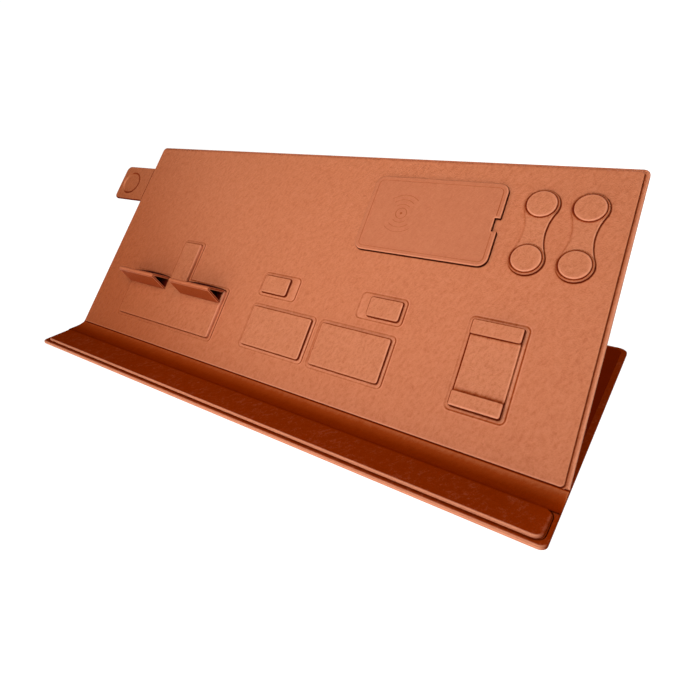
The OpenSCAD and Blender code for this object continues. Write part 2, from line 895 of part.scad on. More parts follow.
// Width of the magnet bars in a card pad, as a share of the pad's
card_core_share = 1 / 6;

module card_cores() {
    bar_w = card_w * card_core_share;
    for (x = [-1, 1])
        translate([x * (card_w / 2 - keeper_inset - bar_w / 2), 0, 0])
        pad_core(bar_w, card_l - 2 * keeper_inset);
}

module card_pad(side) {
    color("peru")
    on_panel()
    at_card(side)
    difference() {
        lift_pad(card_w, card_l);
        card_cores();
    }
}

module card_pad_magnets(side) {
    color("gray") on_panel() at_card(side) card_cores();
}

// Bar clip: a dished plate with a raised bar across each end

clip_plate_n = slab_h + clip_plate_h;
clip_open_l = clip_l - 2 * clip_bar_w;
clip_dish_r = (clip_open_l * clip_open_l / 4 + clip_dish * clip_dish) / (2 * clip_dish);

module clip_cores() {
    for (v = [-1, 1])
        translate([0, v * (clip_l - clip_bar_w) / 2, 0])
        pad_core(clip_w - 2 * keeper_inset, clip_bar_w - keeper_inset);
}

module clip_plate() {
    color("peru")
    on_panel()
    at_clip()
    difference() {
        translate([0, 0, pad_seat_n])
        linear_extrude(clip_plate_n - pad_seat_n) rounded_rect(clip_w, clip_l, clip_bar_r);
        translate([-clip_w / 2 - cut, 0, clip_plate_n - clip_dish + clip_dish_r])
        rotate([0, 90, 0])
            cylinder(clip_w + 2 * cut, r = clip_dish_r, $fn = 720);
        clip_cores();
    }
}

module clip_bar(end) {
    color("peru")
    on_panel()
    at_clip()
    translate([0, end * (clip_l - clip_bar_w) / 2, clip_plate_n])
    soft_plate(clip_w, clip_bar_w, clip_bar_h, clip_bar_r, pad_edge);
}

module clip_magnets() {
    color("gray") on_panel() at_clip() clip_cores();
}

// Cable ties: a waisted strap with a magnet under a disc at each end. The strap lies flat at
// rest, and its middle bends so that the upper disc closes over the lower one.

tie_end_r = tie_end_d / 2;
tie_waist_r = ((tie_waist_w * tie_waist_w + tie_span * tie_span) / 4 - tie_end_r * tie_end_r)
    / (2 * tie_end_r - tie_waist_w);
tie_waist_x = tie_waist_w / 2 + tie_waist_r;
tie_touch_share = tie_end_r / (tie_end_r + tie_waist_r);
tie_touch_x = tie_waist_x * tie_touch_share;
tie_touch_v = tie_span / 2 * (1 - tie_touch_share);
tie_seat_n = slab_h + seat_gap;
tie_magnet_n = (tie_strap_t + tie_disc_h - tie_magnet_t) / 2;

module tie_outline() {
    for (v = [-1, 1]) translate([0, v * tie_span / 2]) circle(tie_end_r, $fn = round_fn);
    difference() {
        square([2 * tie_touch_x, 2 * tie_touch_v], center = true);
        for (x = [-1, 1]) translate([x * tie_waist_x, 0]) circle(tie_waist_r, $fn = 4 * round_fn);
    }
}

module at_tie(x) {
    translate([x, tie_mid, tie_seat_n]) children();
}

// Strap between two places along the tie
module tie_strap(low, high) {
    linear_extrude(tie_strap_t)
    intersection() {
        tie_outline();
        translate([-tie_end_r, low]) square([2 * tie_end_r, high - low]);
    }
}

module tie_magnet_solid(end) {
    translate([0, end * tie_span / 2, tie_magnet_n])
    cylinder(tie_magnet_t, d = tie_magnet_d, $fn = round_fn);
}

module tie_end(x, end) {
    reach = tie_span / 2 + tie_end_r;
    disc_r = tie_disc_d / 2;
    color("peru")
    on_panel()
    at_tie(x)
    difference() {
        union() {
            if (end > 0) tie_strap(tie_bend_l / 2, reach);
            if (end < 0) tie_strap(-reach, -tie_bend_l / 2);
            translate([0, end * tie_span / 2, tie_strap_t / 2])
            rotate_extrude($fn = round_fn)
            polygon([[0, 0], [disc_r, 0], [disc_r, tie_strap_t / 2 + tie_disc_h - pad_edge],
                     [disc_r - pad_edge, tie_strap_t / 2 + tie_disc_h], [0, tie_strap_t / 2 + tie_disc_h]]);
        }
        tie_magnet_solid(end);
    }
}

module tie_waist(x) {
    color("peru") on_panel() at_tie(x) tie_strap(-tie_bend_l / 2, tie_bend_l / 2);
}

module tie_magnet(x, end) {
    color("gray") on_panel() at_tie(x) tie_magnet_solid(end);
}

base_underlay();
base_board();
base_cover();
document_liner();
lip_foam();
lip_pad();
fold_strip();
panel_cover();
back_board();
panel_lining();
tab_pocket();
face_board();
face_cover();
keeper_plates();
side_tab();
tab_disc();
charger_tray();
charger_coil();
ferrite_sheet();
charger_circuit_board();
usb_c_socket();
charger_face();
t_pad();
t_pad_plate();
ledge_top_board(-1);  // ledge_left_top_board
ledge_front_board(-1);  // ledge_left_front_board
ledge_crease(-1);  // ledge_left_crease
ledge_magnet(-1);  // ledge_left_magnet
ledge_top_board(1);  // ledge_right_top_board
ledge_front_board(1);  // ledge_right_front_board
ledge_crease(1);  // ledge_right_crease
ledge_magnet(1);  // ledge_right_magnet
block(-1);  // block_left
block_magnet(-1);  // block_left_magnet
block(1);  // block_right
block_magnet(1);  // block_right_magnet
card_pad(-1);  // card_pad_left
card_pad_magnets(-1);  // card_pad_left_magnets
card_pad(1);  // card_pad_right
card_pad_magnets(1);  // card_pad_right_magnets
clip_plate();
clip_bar(1);  // clip_upper_bar
clip_bar(-1);  // clip_lower_bar
clip_magnets();
tie_end(tie_left_x, -1);  // tie_left_lower_end
tie_magnet(tie_left_x, -1);  // tie_left_lower_magnet
tie_waist(tie_left_x);  // tie_left_waist
tie_end(tie_left_x, 1);  // tie_left_upper_end
tie_magnet(tie_left_x, 1);  // tie_left_upper_magnet
tie_end(tie_right_x, -1);  // tie_right_lower_end
tie_magnet(tie_right_x, -1);  // tie_right_lower_magnet
tie_waist(tie_right_x);  // tie_right_waist
tie_end(tie_right_x, 1);  // tie_right_upper_end
tie_magnet(tie_right_x, 1);  // tie_right_upper_magnet
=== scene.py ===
import json
import math

import bmesh
import bpy
from mathutils import Matrix, Vector
from mathutils.geometry import delaunay_2d_cdt


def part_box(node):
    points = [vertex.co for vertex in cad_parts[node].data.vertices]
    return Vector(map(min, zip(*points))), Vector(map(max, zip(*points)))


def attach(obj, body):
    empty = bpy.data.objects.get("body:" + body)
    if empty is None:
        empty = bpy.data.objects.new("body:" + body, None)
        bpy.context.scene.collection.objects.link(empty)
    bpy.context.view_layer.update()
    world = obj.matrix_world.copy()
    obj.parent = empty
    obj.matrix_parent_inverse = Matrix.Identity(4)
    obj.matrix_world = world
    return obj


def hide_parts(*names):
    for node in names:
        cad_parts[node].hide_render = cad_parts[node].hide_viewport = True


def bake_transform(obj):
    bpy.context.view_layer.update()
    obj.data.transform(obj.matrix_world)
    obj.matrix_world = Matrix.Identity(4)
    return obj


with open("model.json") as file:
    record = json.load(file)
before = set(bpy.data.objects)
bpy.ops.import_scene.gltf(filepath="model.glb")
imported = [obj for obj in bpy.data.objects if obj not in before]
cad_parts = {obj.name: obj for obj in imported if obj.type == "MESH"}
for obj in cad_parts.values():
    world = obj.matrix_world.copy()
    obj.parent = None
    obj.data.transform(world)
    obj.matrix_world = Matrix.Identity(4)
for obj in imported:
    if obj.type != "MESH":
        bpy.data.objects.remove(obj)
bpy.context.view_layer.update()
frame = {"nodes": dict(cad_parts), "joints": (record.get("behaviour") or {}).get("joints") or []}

MM = 0.001
NODES = frame["nodes"]
JOINTS = {joint["name"]: joint for joint in frame["joints"]}
SIDES = ("left", "right")
# Two slot names, passed along with the pieces
MAT, PAD = "mat_leather", "pad_leather"
X_AXIS = Vector((1, 0, 0))

# Shapes that the boxes of the CAD nodes don't give
BASE_FRONT_R = 7 * MM
BASE_REAR_R = 12 * MM
BASE_EDGE = 0.9 * MM
LIP_R = 8 * MM
LIP_EDGE = 1.6 * MM
PANEL_R = 6.5 * MM
PANEL_EDGE = 0.8 * MM
SLAB_R = 3.6 * MM
SLAB_EDGE = 0.6 * MM
PAD_R = 3.2 * MM
PAD_EDGE = 0.9 * MM
TRAY_R = 5.6 * MM
TRAY_GAP = 4.2 * MM
TRAY_DEPTH = 0.5 * MM
CHARGER_R = 10.8 * MM
CHARGER_SKIN = 0.5 * MM
NOTCH_W, NOTCH_D, NOTCH_UP, NOTCH_R = 15.7 * MM, 5.8 * MM, 0.1 * MM, 0.8 * MM
LINER_R = 9 * MM
SHEET_EDGE = 0.2 * MM
UNDERLAY_INSET, UNDERLAY_T = 4 * MM, 0.5 * MM
LINING_HEM = 2.5 * MM
POCKET_R, POCKET_SIDE, POCKET_T = 6 * MM, 6 * MM, 0.7 * MM
CLIP_R = 2.4 * MM
CLIP_DISH = 1.0 * MM
TAB_R = 8.5 * MM
TAB_EDGE = 0.7 * MM
DIMPLE_R = 19 * MM
DIMPLE_DEPTH = 0.7 * MM
LEDGE_T = 2.8 * MM
LEDGE_R = 2 * MM
TIE_WAIST = 10.45 * MM
TIE_STRAP_T = 2.3 * MM
TIE_DISC_R = 14.7 * MM
STRIP_SLOPE = 15.0
STRIP_BEND_R = 6 * MM
STRIP_T = 0.9 * MM


def placed(across, along, out, origin):
    """A frame from the directions of its three axes and its origin."""
    return Matrix((*zip(across, along, out, origin), (0, 0, 0, 1)))


# The panel's own frame: across, up from the fold, out of its face

NORMAL = Vector(JOINTS["bar_clip_lift"]["axis"]).normalized()
UP = Vector((0, NORMAL.z, -NORMAL.y))
OPEN_ANGLE = math.degrees(math.atan2(UP.z, UP.y))
fold_z = max(NORMAL.dot(v.co) for v in NODES["panel_cover"].data.vertices) / NORMAL.z
PANEL = placed(X_AXIS, UP, NORMAL, (0, 0, fold_z))
INTO_PANEL = PANEL.inverted()


def panel_places(*names):
    """Every corner of CAD nodes in the panel's frame."""
    return [INTO_PANEL @ v.co for name in names for v in NODES[name].data.vertices]


def panel_box(*names):
    """Lowest and highest corner of CAD nodes in the panel's frame."""
    places = panel_places(*names)
    low = Vector([min(p[i] for p in places) for i in range(3)])
    high = Vector([max(p[i] for p in places) for i in range(3)])
    return low, high


def ledge_line(side, into=Matrix()):
    """Places of a ledge's hinge and of its crease, in a frame."""
    return [into @ Vector(JOINTS[f"ledge_{side}_{end}"]["pos_m"]) for end in ("root", "tip")]


# Outlines


def rect(low, high, grow=0.0):
    x0, y0, x1, y1 = low[0] - grow, low[1] - grow, high[0] + grow, high[1] + grow
    return [(x0, y0), (x1, y0), (x1, y1), (x0, y1)]


def outline(corners, radii, inset=0.0, steps=6):
    """Points round an outline of right-angled corners, each with its own radius, moved in by inset."""
    points = []
    for i, corner in enumerate(corners):
        here = Vector(corner)
        along = (here - Vector(corners[i - 1])).normalized()
        away = (Vector(corners[(i + 1) % len(corners)]) - here).normalized()
        sides = Vector((-along.y, along.x)), Vector((-away.y, away.x))
        if along.x * away.y - along.y * away.x > 0:
            reach = max(radii[i], inset + 1e-5)
            centre = here + (sides[0] + sides[1]) * reach
            r = reach - inset
            first, last = -sides[0], -sides[1]
        else:
            centre = here - (sides[0] + sides[1]) * radii[i]
            r = radii[i] + inset
            first, last = sides
        for k in range(steps + 1):
            turn = math.pi / 2 * k / steps
            points.append(centre + (first * math.cos(turn) + last * math.sin(turn)) * r)
    return points


def rounded(corners, radii, steps=6):
    """An outline as a function of its inset. radii is one radius, or a list with one for each corner."""
    every = radii if isinstance(radii, list) else [radii] * len(corners)
    return lambda inset: outline(corners, every, inset, steps)


def arc(centre, r, first, last, steps):
    """Points along an arc, with both its ends."""
    turns = [first + (last - first) * k / steps for k in range(steps + 1)]
    return [Vector((centre[0] + r * math.cos(a), centre[1] + r * math.sin(a))) for a in turns]


def circle(centre, r, count=96):
    """A circle as a function of its inset."""
    return lambda inset: arc(centre, r - inset, 0, 2 * math.pi, count)[:-1]


# Mesh building. Each point carries painted light: a highlight above 0, painted shade below 0 in corners and
# crevices.

# delaunay_2d_cdt keeps only what lies inside the outer outline, and takes points this close as one
KEEP_INSIDE, SAME_PLACE = 1, 1e-7
# Faces whose normal is this close to their piece's own Z are left flat
FLAT = 0.99998


def encloses(bound, place):
    """Whether a closed run of points goes round a place."""
    x, y = place
    inside = False
    for p, q in zip(bound, bound[1:] + bound[:1]):
        if (p.y > y) != (q.y > y) and x < p.x + (q.x - p.x) * (y - p.y) / (q.y - p.y):
            inside = not inside
    return inside


def outward(outer):
    """Direction that each point of an outline faces. outer(inset) gives the outline."""
    return [(a - b).normalized() for a, b in zip(outer(-0.1 * MM), outer(0))]


def sided(normals, wear):
    """Painted light for each point of a ring, from that of its right, bottom, left and top sides."""
    if not isinstance(wear, tuple):
        return [wear] * len(normals)
    right, bottom, left, top = wear
    return [(right if n.x > 0 else left) * n.x**2 + (top if n.y > 0 else bottom) * n.y**2 for n in normals]


def linked(name, data):
    """A new object in the scene."""
    obj = bpy.data.objects.new(name, data)
    bpy.context.scene.collection.objects.link(obj)
    return obj


class Shape:
    def __init__(self):
        self.bm = bmesh.new()
        self.wear = self.bm.verts.layers.float.new("wear")

    def point(self, place, wear=0.0):
        vert = self.bm.verts.new(place)
        vert[self.wear] = wear
        return vert

    def ring(self, points, height, wear=0.0):
        """A loop of points. Its painted light is one value, or one for each point."""
        painted_lights = wear if isinstance(wear, list) else [wear] * len(points)
        return [self.point((p[0], p[1], height), w) for p, w in zip(points, painted_lights)]

    def bridge(self, lower, upper, closed=True):
        count = len(lower)
        for i in range(count if closed else count - 1):
            j = (i + 1) % count
            self.bm.faces.new((lower[i], lower[j], upper[j], upper[i]))

    def loft(self, rings, closed=True):
        for lower, upper in zip(rings, rings[1:]):
            self.bridge(lower, upper, closed)

    def stack(self, outer, base, steps):
        """Rings joined one to the next. A step has an inset and a rise from base, both in mm, and a painted
        light.
        """
        normals = outward(outer)
        rings = [
            self.ring(outer(inset * MM), base + rise * MM, sided(normals, wear))
            for inset, rise, wear in steps
        ]
        self.loft(rings)
        return rings

    def cap(self, ring, down=False):
        self.bm.faces.new(list(reversed(ring)) if down else ring)

    def patch(self, outer, base, steps):
        """A stack that its last ring closes. Returns its first ring."""
        rings = self.stack(outer, base, steps)
        self.cap(rings[-1])
        return rings[0]

    def tube(self, rows):
        """Rows joined one to the next, with both ends closed."""
        self.loft(rows)
        self.cap(rows[0])
        self.cap(rows[-1])

    def fill(self, *loops):
        """Flat face inside the first loop, with the other loops cut out of it."""
        verts, edges = [], []
        for loop in loops:
            count = len(loop)
            edges += [(len(verts) + i, len(verts) + (i + 1) % count) for i in range(count)]
            verts += loop
        flat = [v.co.xy for v in verts]
        places, _, faces, origins, _, _ = delaunay_2d_cdt(flat, edges, [], KEEP_INSIDE, SAME_PLACE)
        bounds = [[v.co.xy for v in loop] for loop in loops]
        for face in faces:
            centre = sum((places[i] for i in face), Vector((0, 0))) / len(face)
            if sum(encloses(bound, centre) for bound in bounds) % 2:
                self.bm.faces.new([verts[origins[i][0]] for i in face])

    def build(self, name, material, slot, matrix=None, body=None, replaces=()):
        """The finished piece, on its body and in place of its CAD nodes. Its slot is not used."""
        bmesh.ops.recalc_face_normals(self.bm, faces=self.bm.faces)
        self.bm.normal_update()
        for face in self.bm.faces:
            face.smooth = abs(face.normal.z) < FLAT
        mesh = bpy.data.meshes.new(name)
        self.bm.to_mesh(mesh)
        self.bm.free()
        mesh.materials.append(material)
        obj = linked(name, mesh)
        if matrix is not None:
            obj.matrix_world = matrix
        if body:
            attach(obj, body)
        if replaces:
            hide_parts(*replaces)
        return obj


class Look:
    """Painted light of a pad's crown, wall, foot and rim. Each has one value, or one for right, bottom, left
    and top.

    The rim is the outer part of the crown. It carries a line of painted shade on the sides whose walls face
    away.
    """

    def __init__(self, crown, wall, foot=-0.3, rim=0.0):
        self.parts = crown, wall, foot, rim

    def mixed(self, normals, shares):
        """Painted light for each point of a ring that has these shares of the crown, wall, foot and rim."""
        columns = [sided(normals, part) for part in self.parts]
        return [sum(share * wear for share, wear in zip(shares, row)) for row in zip(*columns)]


# Painted highlights on the right and bottom crowns, painted shade on the walls, at the foot and on the rim's
# left and top
PAD_LOOK = Look(
    (0.5, 0.25, 0.1, 0.1), (-0.95, -0.95, -0.6, -0.9), (-0.5, -0.7, -0.6, -0.8), (0, -0.1, -0.65, -0.75)
)
BLOCK_LOOK = Look(
    (0.6, 0.25, 0.1, 0.1), (-0.95, -0.95, -0.7, -1), (-0.6, -0.7, -0.6, -0.9), (0, -0.1, -0.9, -1)
)
# Shares of the crown, wall, foot and rim on the way round the top edge
EDGE_SHARES = ((0, 0.9, 0, 0.1), (0.2, 0.45, 0, 0.6), (0.8, 0, 0, 1), (1, 0, 0, 1), (1, 0, 0, 0.6))
# How far in from that edge, in mm, and the crown's share there
CROWN_FADE = ((0.5, 0.75), (1.2, 0.15), (1.8, 0))


def crown(shape, outer, low, high, edge, look=PAD_LOOK, tuck=0.35 * MM, skirt=(), closed=True):
    """Rings from the foot, up the wall and over the rounded top edge. outer(inset) gives the outline."""
    normals = outward(outer)
    rings = [shape.ring(outer(-out * MM), low + 0.03 * MM, sided(normals, wear)) for out, wear in skirt]
    steps = [
        (tuck, low, (0, 0, 1, 0)),
        (tuck * 0.35, low + (high - low) * 0.25, (0, 0.5, 0.5, 0)),
        (0.0, low + (high - low) * 0.45, (0, 1, 0, 0)),
    ]
    for k, shares in enumerate(EDGE_SHARES):
        turn = math.pi / 2 * k / (len(EDGE_SHARES) - 1)
        steps.append((edge * (1 - math.cos(turn)), high - edge * (1 - math.sin(turn)), shares))
    steps += [(edge + further * MM, high, (share, 0.0, 0.0, 0.0)) for further, share in CROWN_FADE]
    for inset, height, shares in steps:
        rings.append(shape.ring(outer(inset), height, look.mixed(normals, shares)))
    shape.loft(rings)
    if closed:
        shape.cap(rings[0], down=True)
    return rings


def soft_plate(name, cad, radii, edge, material, slot, matrix, body, grow=0.0, low=None, high=None, **looks):
    """A plate in place of some CAD nodes, over the box of the first of them."""
    box_low, box_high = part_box(cad[0]) if matrix is None else panel_box(cad[0])
    outer = rounded(rect(box_low, box_high, grow), radii)
    shape = Shape()
    low = box_low.z if low is None else low
    high = box_high.z if high is None else high
    shape.cap(crown(shape, outer, low, high, edge, **looks)[-1])
    return shape.build(name, material, slot, matrix, body, cad)


# Materials

# The grain's cells are bent by a broad noise, run up the panel and a little to the right, and are drawn out
WARP_SCALE, WARP_REACH = 90.0, (0.006, 0.006, 0.006)
GRAIN_SLANT, GRAIN_STRETCH = 66.0, (1.9, 1.0, 1.0)
CELL_SCALE, FINE_SCALE, MOTTLE_SCALE = 2.4, 2200.0, 62.0
# Share of the cells, the grain and the fine noise in the leather's height, and that height's middle
CELL_SHARE, GRAIN_SHARE, FINE_SHARE, HEIGHT_MIDDLE = -0.5, 1.6, 0.28, 0.70
LEATHER_ROUGH = 0.5
# Where a leather's five tones lie, from the darkest painted shade in a crevice to a painted highlight on an
# edge
TONE_STOPS = (0.0, 0.25, 0.5, 0.75, 1.0)
# Painted shade: the leather is darker toward the panel's lower left, where less light falls
PAINTED_FALLOFF_ALONG, PAINTED_FALLOFF_TINT = (1.0, 0.8, 0.0), (0.75, 0.55, 0.37)
PAINTED_FALLOFF_REACH = {"From_Min": -0.31, "From_Max": 0.06}
# How far a plain material's tone varies
VARY = 0.12
WHITE = (1, 1, 1)


class Nodes:
    """The shader nodes of a material or a world."""

    def __init__(self, owner):
        owner.use_nodes = True
        self.tree = owner.node_tree

    def feed(self, socket, value):
        """Give an input a value, or link it to an output."""
        if hasattr(value, "is_output"):
            self.tree.links.new(value, socket)
        else:
            socket.default_value = (*value, 1) if socket.type == "RGBA" else value

    def fit(self, made, **settings):
        """Set a node's properties, which are in lower case, and its inputs."""
        for key, value in settings.items():
            if key[0].islower():
                setattr(made, key, value)
            else:
                self.feed(made.inputs[key.replace("_", " ")], value)
        return made

    def new(self, kind, **settings):
        return self.fit(self.tree.nodes.new("ShaderNode" + kind), **settings)

    def noise(self, place, scale, detail, output="Fac", **settings):
        return self.new("TexNoise", Vector=place, Scale=scale, Detail=detail, **settings).outputs[output]

    def maths(self, operation, *values, kind="Math", output="Value"):
        made = self.new(kind, operation=operation)
        for socket, value in zip(made.inputs, values):
            self.feed(socket, value)
        return made.outputs[output]

    def scaled(self, value, factor, offset=0.0):
        return self.maths("MULTIPLY_ADD", value, factor, offset)

    def blend(self, factor, first, second, blend_type="MIX"):
        made = self.new("Mix", data_type="RGBA", blend_type=blend_type)
        for index, value in ((0, factor), (6, first), (7, second)):
            self.feed(made.inputs[index], value)
        return made.outputs[2]


def new_material(name):
    """A new material, its nodes, its shader and the place in the object that is shaded."""
    material = bpy.data.materials.new(name)
    nodes = Nodes(material)
    return material, nodes, nodes.tree.nodes["Principled BSDF"], nodes.new("TexCoord").outputs["Object"]


def leather(name, tones, grain, relief, pattern, cloud, shine, painted_falloff=False):
    """Pebbled leather. tones are its colours from painted shade in a crevice, through the flat, to a painted
    highlight.
    """
    material, nodes, shader, place = new_material(name)
    warp = nodes.noise(place, WARP_SCALE, 2.0, "Color")
    bent = nodes.maths("MULTIPLY_ADD", warp, WARP_REACH, place, kind="VectorMath", output="Vector")
    slant = (0, 0, math.radians(GRAIN_SLANT))
    drawn = nodes.new("Mapping", vector_type="TEXTURE", Vector=bent, Rotation=slant, Scale=GRAIN_STRETCH)
    cells = nodes.new("TexVoronoi", Vector=bent, Scale=grain * CELL_SCALE, Randomness=1.0)
    flow = nodes.noise(drawn.outputs[0], grain, 3.0, Roughness=0.6)
    mottle = nodes.noise(place, MOTTLE_SCALE, 3.0)
    height = nodes.scaled(flow, GRAIN_SHARE, nodes.scaled(cells.outputs["Distance"], CELL_SHARE))
    height = nodes.scaled(nodes.noise(place, FINE_SCALE, 3.0), FINE_SHARE, height)
    # The painted light of each point, with the grain and the mottle, picks the tone
    wear = nodes.new("Attribute", attribute_name="wear").outputs["Fac"]
    tone = nodes.scaled(nodes.maths("SUBTRACT", mottle, 0.5), 4 * cloud, wear)
    tone = nodes.scaled(nodes.maths("SUBTRACT", height, HEIGHT_MIDDLE), 4 * pattern, tone)
    ramp = nodes.new("ValToRGB", Fac=nodes.scaled(tone, 0.5, 0.5))
    stops = ramp.color_ramp.elements
    for _ in range(len(tones) - len(stops)):
        stops.new(0.5)
    for stop, at, colour in zip(stops, TONE_STOPS, tones):
        stop.position, stop.color = at, (*colour, 1)
    colour = ramp.outputs["Color"]
    # Painted shade toward the panel's lower left
    if painted_falloff:
        along = nodes.maths("DOT_PRODUCT", place, PAINTED_FALLOFF_ALONG, kind="VectorMath")
        reach = nodes.new("MapRange", interpolation_type="SMOOTHSTEP", Value=along, **PAINTED_FALLOFF_REACH)
        colour = nodes.blend(1.0, colour, nodes.blend(reach.outputs[0], PAINTED_FALLOFF_TINT, WHITE), "MULTIPLY")
    # Rougher where shade is painted
    dull = nodes.maths("MAXIMUM", nodes.scaled(wear, -0.45), 0.0)
    gloss = nodes.scaled(mottle, 0.10, nodes.maths("ADD", dull, LEATHER_ROUGH))
    bump = nodes.new("Bump", Strength=relief, Distance=0.0008, Height=height).outputs[0]
    nodes.fit(shader, Base_Color=colour, Roughness=gloss, Specular_IOR_Level=shine, Normal=bump)
    return material


def plain(name, colour, rough=0.6, metallic=0.0, scale=300.0, relief=0.06, stretch=None, shine=0.5):
    """A material of one colour with fine variation in tone, gloss and relief."""
    material, nodes, shader, place = new_material(name)
    if stretch:
        place = nodes.new("Mapping", Vector=place, Scale=stretch).outputs[0]
    tone = nodes.noise(place, scale, 4.0)
    amount = nodes.scaled(nodes.noise(place, scale / 14, 2.0), 0.5, nodes.scaled(tone, 0.5))
    low = tuple(c * (1 - VARY) for c in colour)
    high = tuple(min(1.0, c * (1 + VARY)) for c in colour)
    bump = nodes.new("Bump", Strength=relief, Distance=0.0004, Height=tone).outputs[0]
    nodes.fit(
        shader, Base_Color=nodes.blend(amount, low, high), Roughness=nodes.scaled(tone, 0.2, rough - 0.1),
        Metallic=metallic, Specular_IOR_Level=shine, Normal=bump,
    )
    return material


def brushed_lining(name, colour):
    """Smooth lining with a fine close nap."""
    material, nodes, shader, place = new_material(name)
    nap = nodes.noise(place, 1500.0, 3.0)
    amount = nodes.scaled(nodes.noise(place, 24.0, 3.0), 0.6, nodes.scaled(nap, 0.4))
    low, high = (tuple(c * share for c in colour) for share in (0.7, 1.3))
    bump = nodes.new("Bump", Strength=0.18, Distance=0.0003, Height=nap).outputs[0]
    nodes.fit(
        shader, Base_Color=nodes.blend(amount, low, high), Roughness=0.85, Specular_IOR_Level=0.0, Normal=bump
    )
    return material


# Tones of painted shade for crevices, and of painted highlight for edges that face the light
PAINTED_SHADE_TONES = ((0.12, 0.006, 0.0002), (0.32, 0.052, 0.0085))
PAINTED_HIGHLIGHT_TONES = ((0.70, 0.255, 0.135), (0.84, 0.34, 0.20))
TAN_TONES = (*PAINTED_SHADE_TONES, (0.56, 0.172, 0.074), *PAINTED_HIGHLIGHT_TONES)
PAD_TONES = (*PAINTED_SHADE_TONES, (0.565, 0.184, 0.083), *PAINTED_HIGHLIGHT_TONES)
CHARGER_TONES = (*PAINTED_SHADE_TONES, (0.515, 0.158, 0.071), *PAINTED_HIGHLIGHT_TONES)
# Darker than the panel's leather: partly the mat's own deeper tone, partly painted shade on faces turned up
MAT_TONES = ((0.07, 0.004, 0.0001), (0.15, 0.010, 0.0002), (0.220, 0.021, 0.0003))
LIP_TONES = (*MAT_TONES, (0.51, 0.165, 0.085), (0.80, 0.31, 0.17))
FOLD_TONES = (*MAT_TONES, (0.33, 0.046, 0.0060), (0.50, 0.138, 0.048))
# Darker than the pads' leather: painted shade on ledge boards turned from the light
LEDGE_TONES = (
    (0.06, 0.004, 0.0001), (0.17, 0.018, 0.001), (0.36, 0.060, 0.010), (0.58, 0.175, 0.077),
    (0.80, 0.30, 0.16),
)

# Tones, grain, relief, pattern, cloud, shine and painted falloff
panel_leather = leather("leather_panel", TAN_TONES, 300.0, 0.6, 0.085, 0.022, 0.14, painted_falloff=True)
pad_leather = leather("leather_pads", PAD_TONES, 340.0, 0.6, 0.10, 0.022, 0.12, painted_falloff=True)
charger_leather = leather("leather_charger", CHARGER_TONES, 340.0, 0.3, 0.045, 0.02, 0.12)
fold_leather = leather("leather_fold", FOLD_TONES, 300.0, 0.35, 0.05, 0.03, 0.0)
ledge_leather = leather("leather_ledges", LEDGE_TONES, 340.0, 0.3, 0.035, 0.05, 0.15)
lip_leather = leather("leather_lip", LIP_TONES, 300.0, 0.35, 0.04, 0.03, 0.0)

FINISHES = {
    "lining": brushed_lining("lining_brushed", (0.15, 0.010, 0.0003)),
    "underlay": plain("underlay_rubber", (0.07, 0.022, 0.010), 0.8, scale=900.0, relief=0.2),
    "board": plain("board_pressed", (0.45, 0.36, 0.24), 0.85, scale=500.0),
    "foam": plain("foam_soft", (0.62, 0.55, 0.36), 0.95, scale=900.0, relief=0.2),
    "steel": plain("steel_rolled", (0.56, 0.56, 0.57), 0.32, 1.0, scale=160.0, stretch=(1, 14, 1)),
    "magnet": plain("magnet_plated", (0.32, 0.32, 0.33), 0.28, 1.0),
    "charger": plain("charger_moulded", (0.045, 0.007, 0.002), 0.6, scale=1400.0, relief=0.1, shine=0.08),
    "socket": plain("socket_dark", (0.08, 0.025, 0.012), 0.5, 0.4, shine=0.1),
    "copper": plain("copper_wire", (0.62, 0.26, 0.10), 0.3, 1.0, scale=60.0, stretch=(30, 30, 1)),
    "ferrite": plain("ferrite_matt", (0.045, 0.045, 0.05), 0.7),
    "circuit": plain("circuit_mask", (0.015, 0.11, 0.05), 0.4, scale=700.0),
}
FINISH_NODES = {
    "underlay": ["base_underlay"],
    "board": ["base_board", "back_board", "face_board"],
    "foam": ["lip_foam"],
    "steel": ["keeper_plates", "t_pad_plate", "tab_disc"],
    "magnet": [name for name in NODES if "magnet" in name],
    "socket": ["usb_c_socket"],
    "charger": ["charger_tray"],
    "copper": ["charger_coil"],
    "ferrite": ["ferrite_sheet"],
    "circuit": ["charger_circuit_board"],
    "lining": ["document_liner", "panel_lining", "tab_pocket"],
}
NODE_FINISH = {name: FINISHES[kind] for kind, names in FINISH_NODES.items() for name in names}
lining = FINISHES["lining"]

for name, obj in NODES.items():
    finish = NODE_FINISH.get(name, panel_leather)
    if not obj.material_slots:
        obj.data.materials.append(finish)
    for material_slot in obj.material_slots:
        material_slot.material = finish


# Base, lip pad and fold strip

# A painted highlight along the front of the base and of the lip, and a little painted shade on their other
# sides
soft_plate(
    "base_leather", ["base_cover"], [BASE_FRONT_R, BASE_FRONT_R, BASE_REAR_R, BASE_REAR_R], BASE_EDGE,
    lip_leather, MAT, None, "base", grow=0.05 * MM, low=0.1 * MM,
    look=Look((0, 0.85, 0.1, 0.1), (-0.2, 0.9, 0.1, 0.1), (-0.2, 0.8, 0, 0)), tuck=0.0,
)

lip = soft_plate(
    "lip_cushion", ["lip_pad", "lip_foam"], LIP_R, LIP_EDGE,
    lip_leather, MAT, None, "base", grow=0.5 * MM,
    look=Look((0.08, 0.9, 0, -0.2), (0, 0.9, 0, -0.6), (-0.15, 0.2, 0, -0.4)), tuck=0.2 * MM,
    skirt=((1.6, 0), (0.8, (-0.2, 0.15, 0, -0.2))),
)

# Steps in each bend of the fold strip, and how far painted shade reaches from its seam under the panel, in mm
BEND_STEPS, SEAM = 12, 0.9


def bend(y, z, r, first, last):
    """Places along a bend of the fold strip that starts at (y, z), each with its slope."""
    turns = [first + (last - first) * k / BEND_STEPS for k in range(BEND_STEPS + 1)]
    start, rise = math.sin(first), math.cos(first)
    return [(y + r * (math.sin(a) - start), z + r * (rise - math.cos(a)), a) for a in turns]


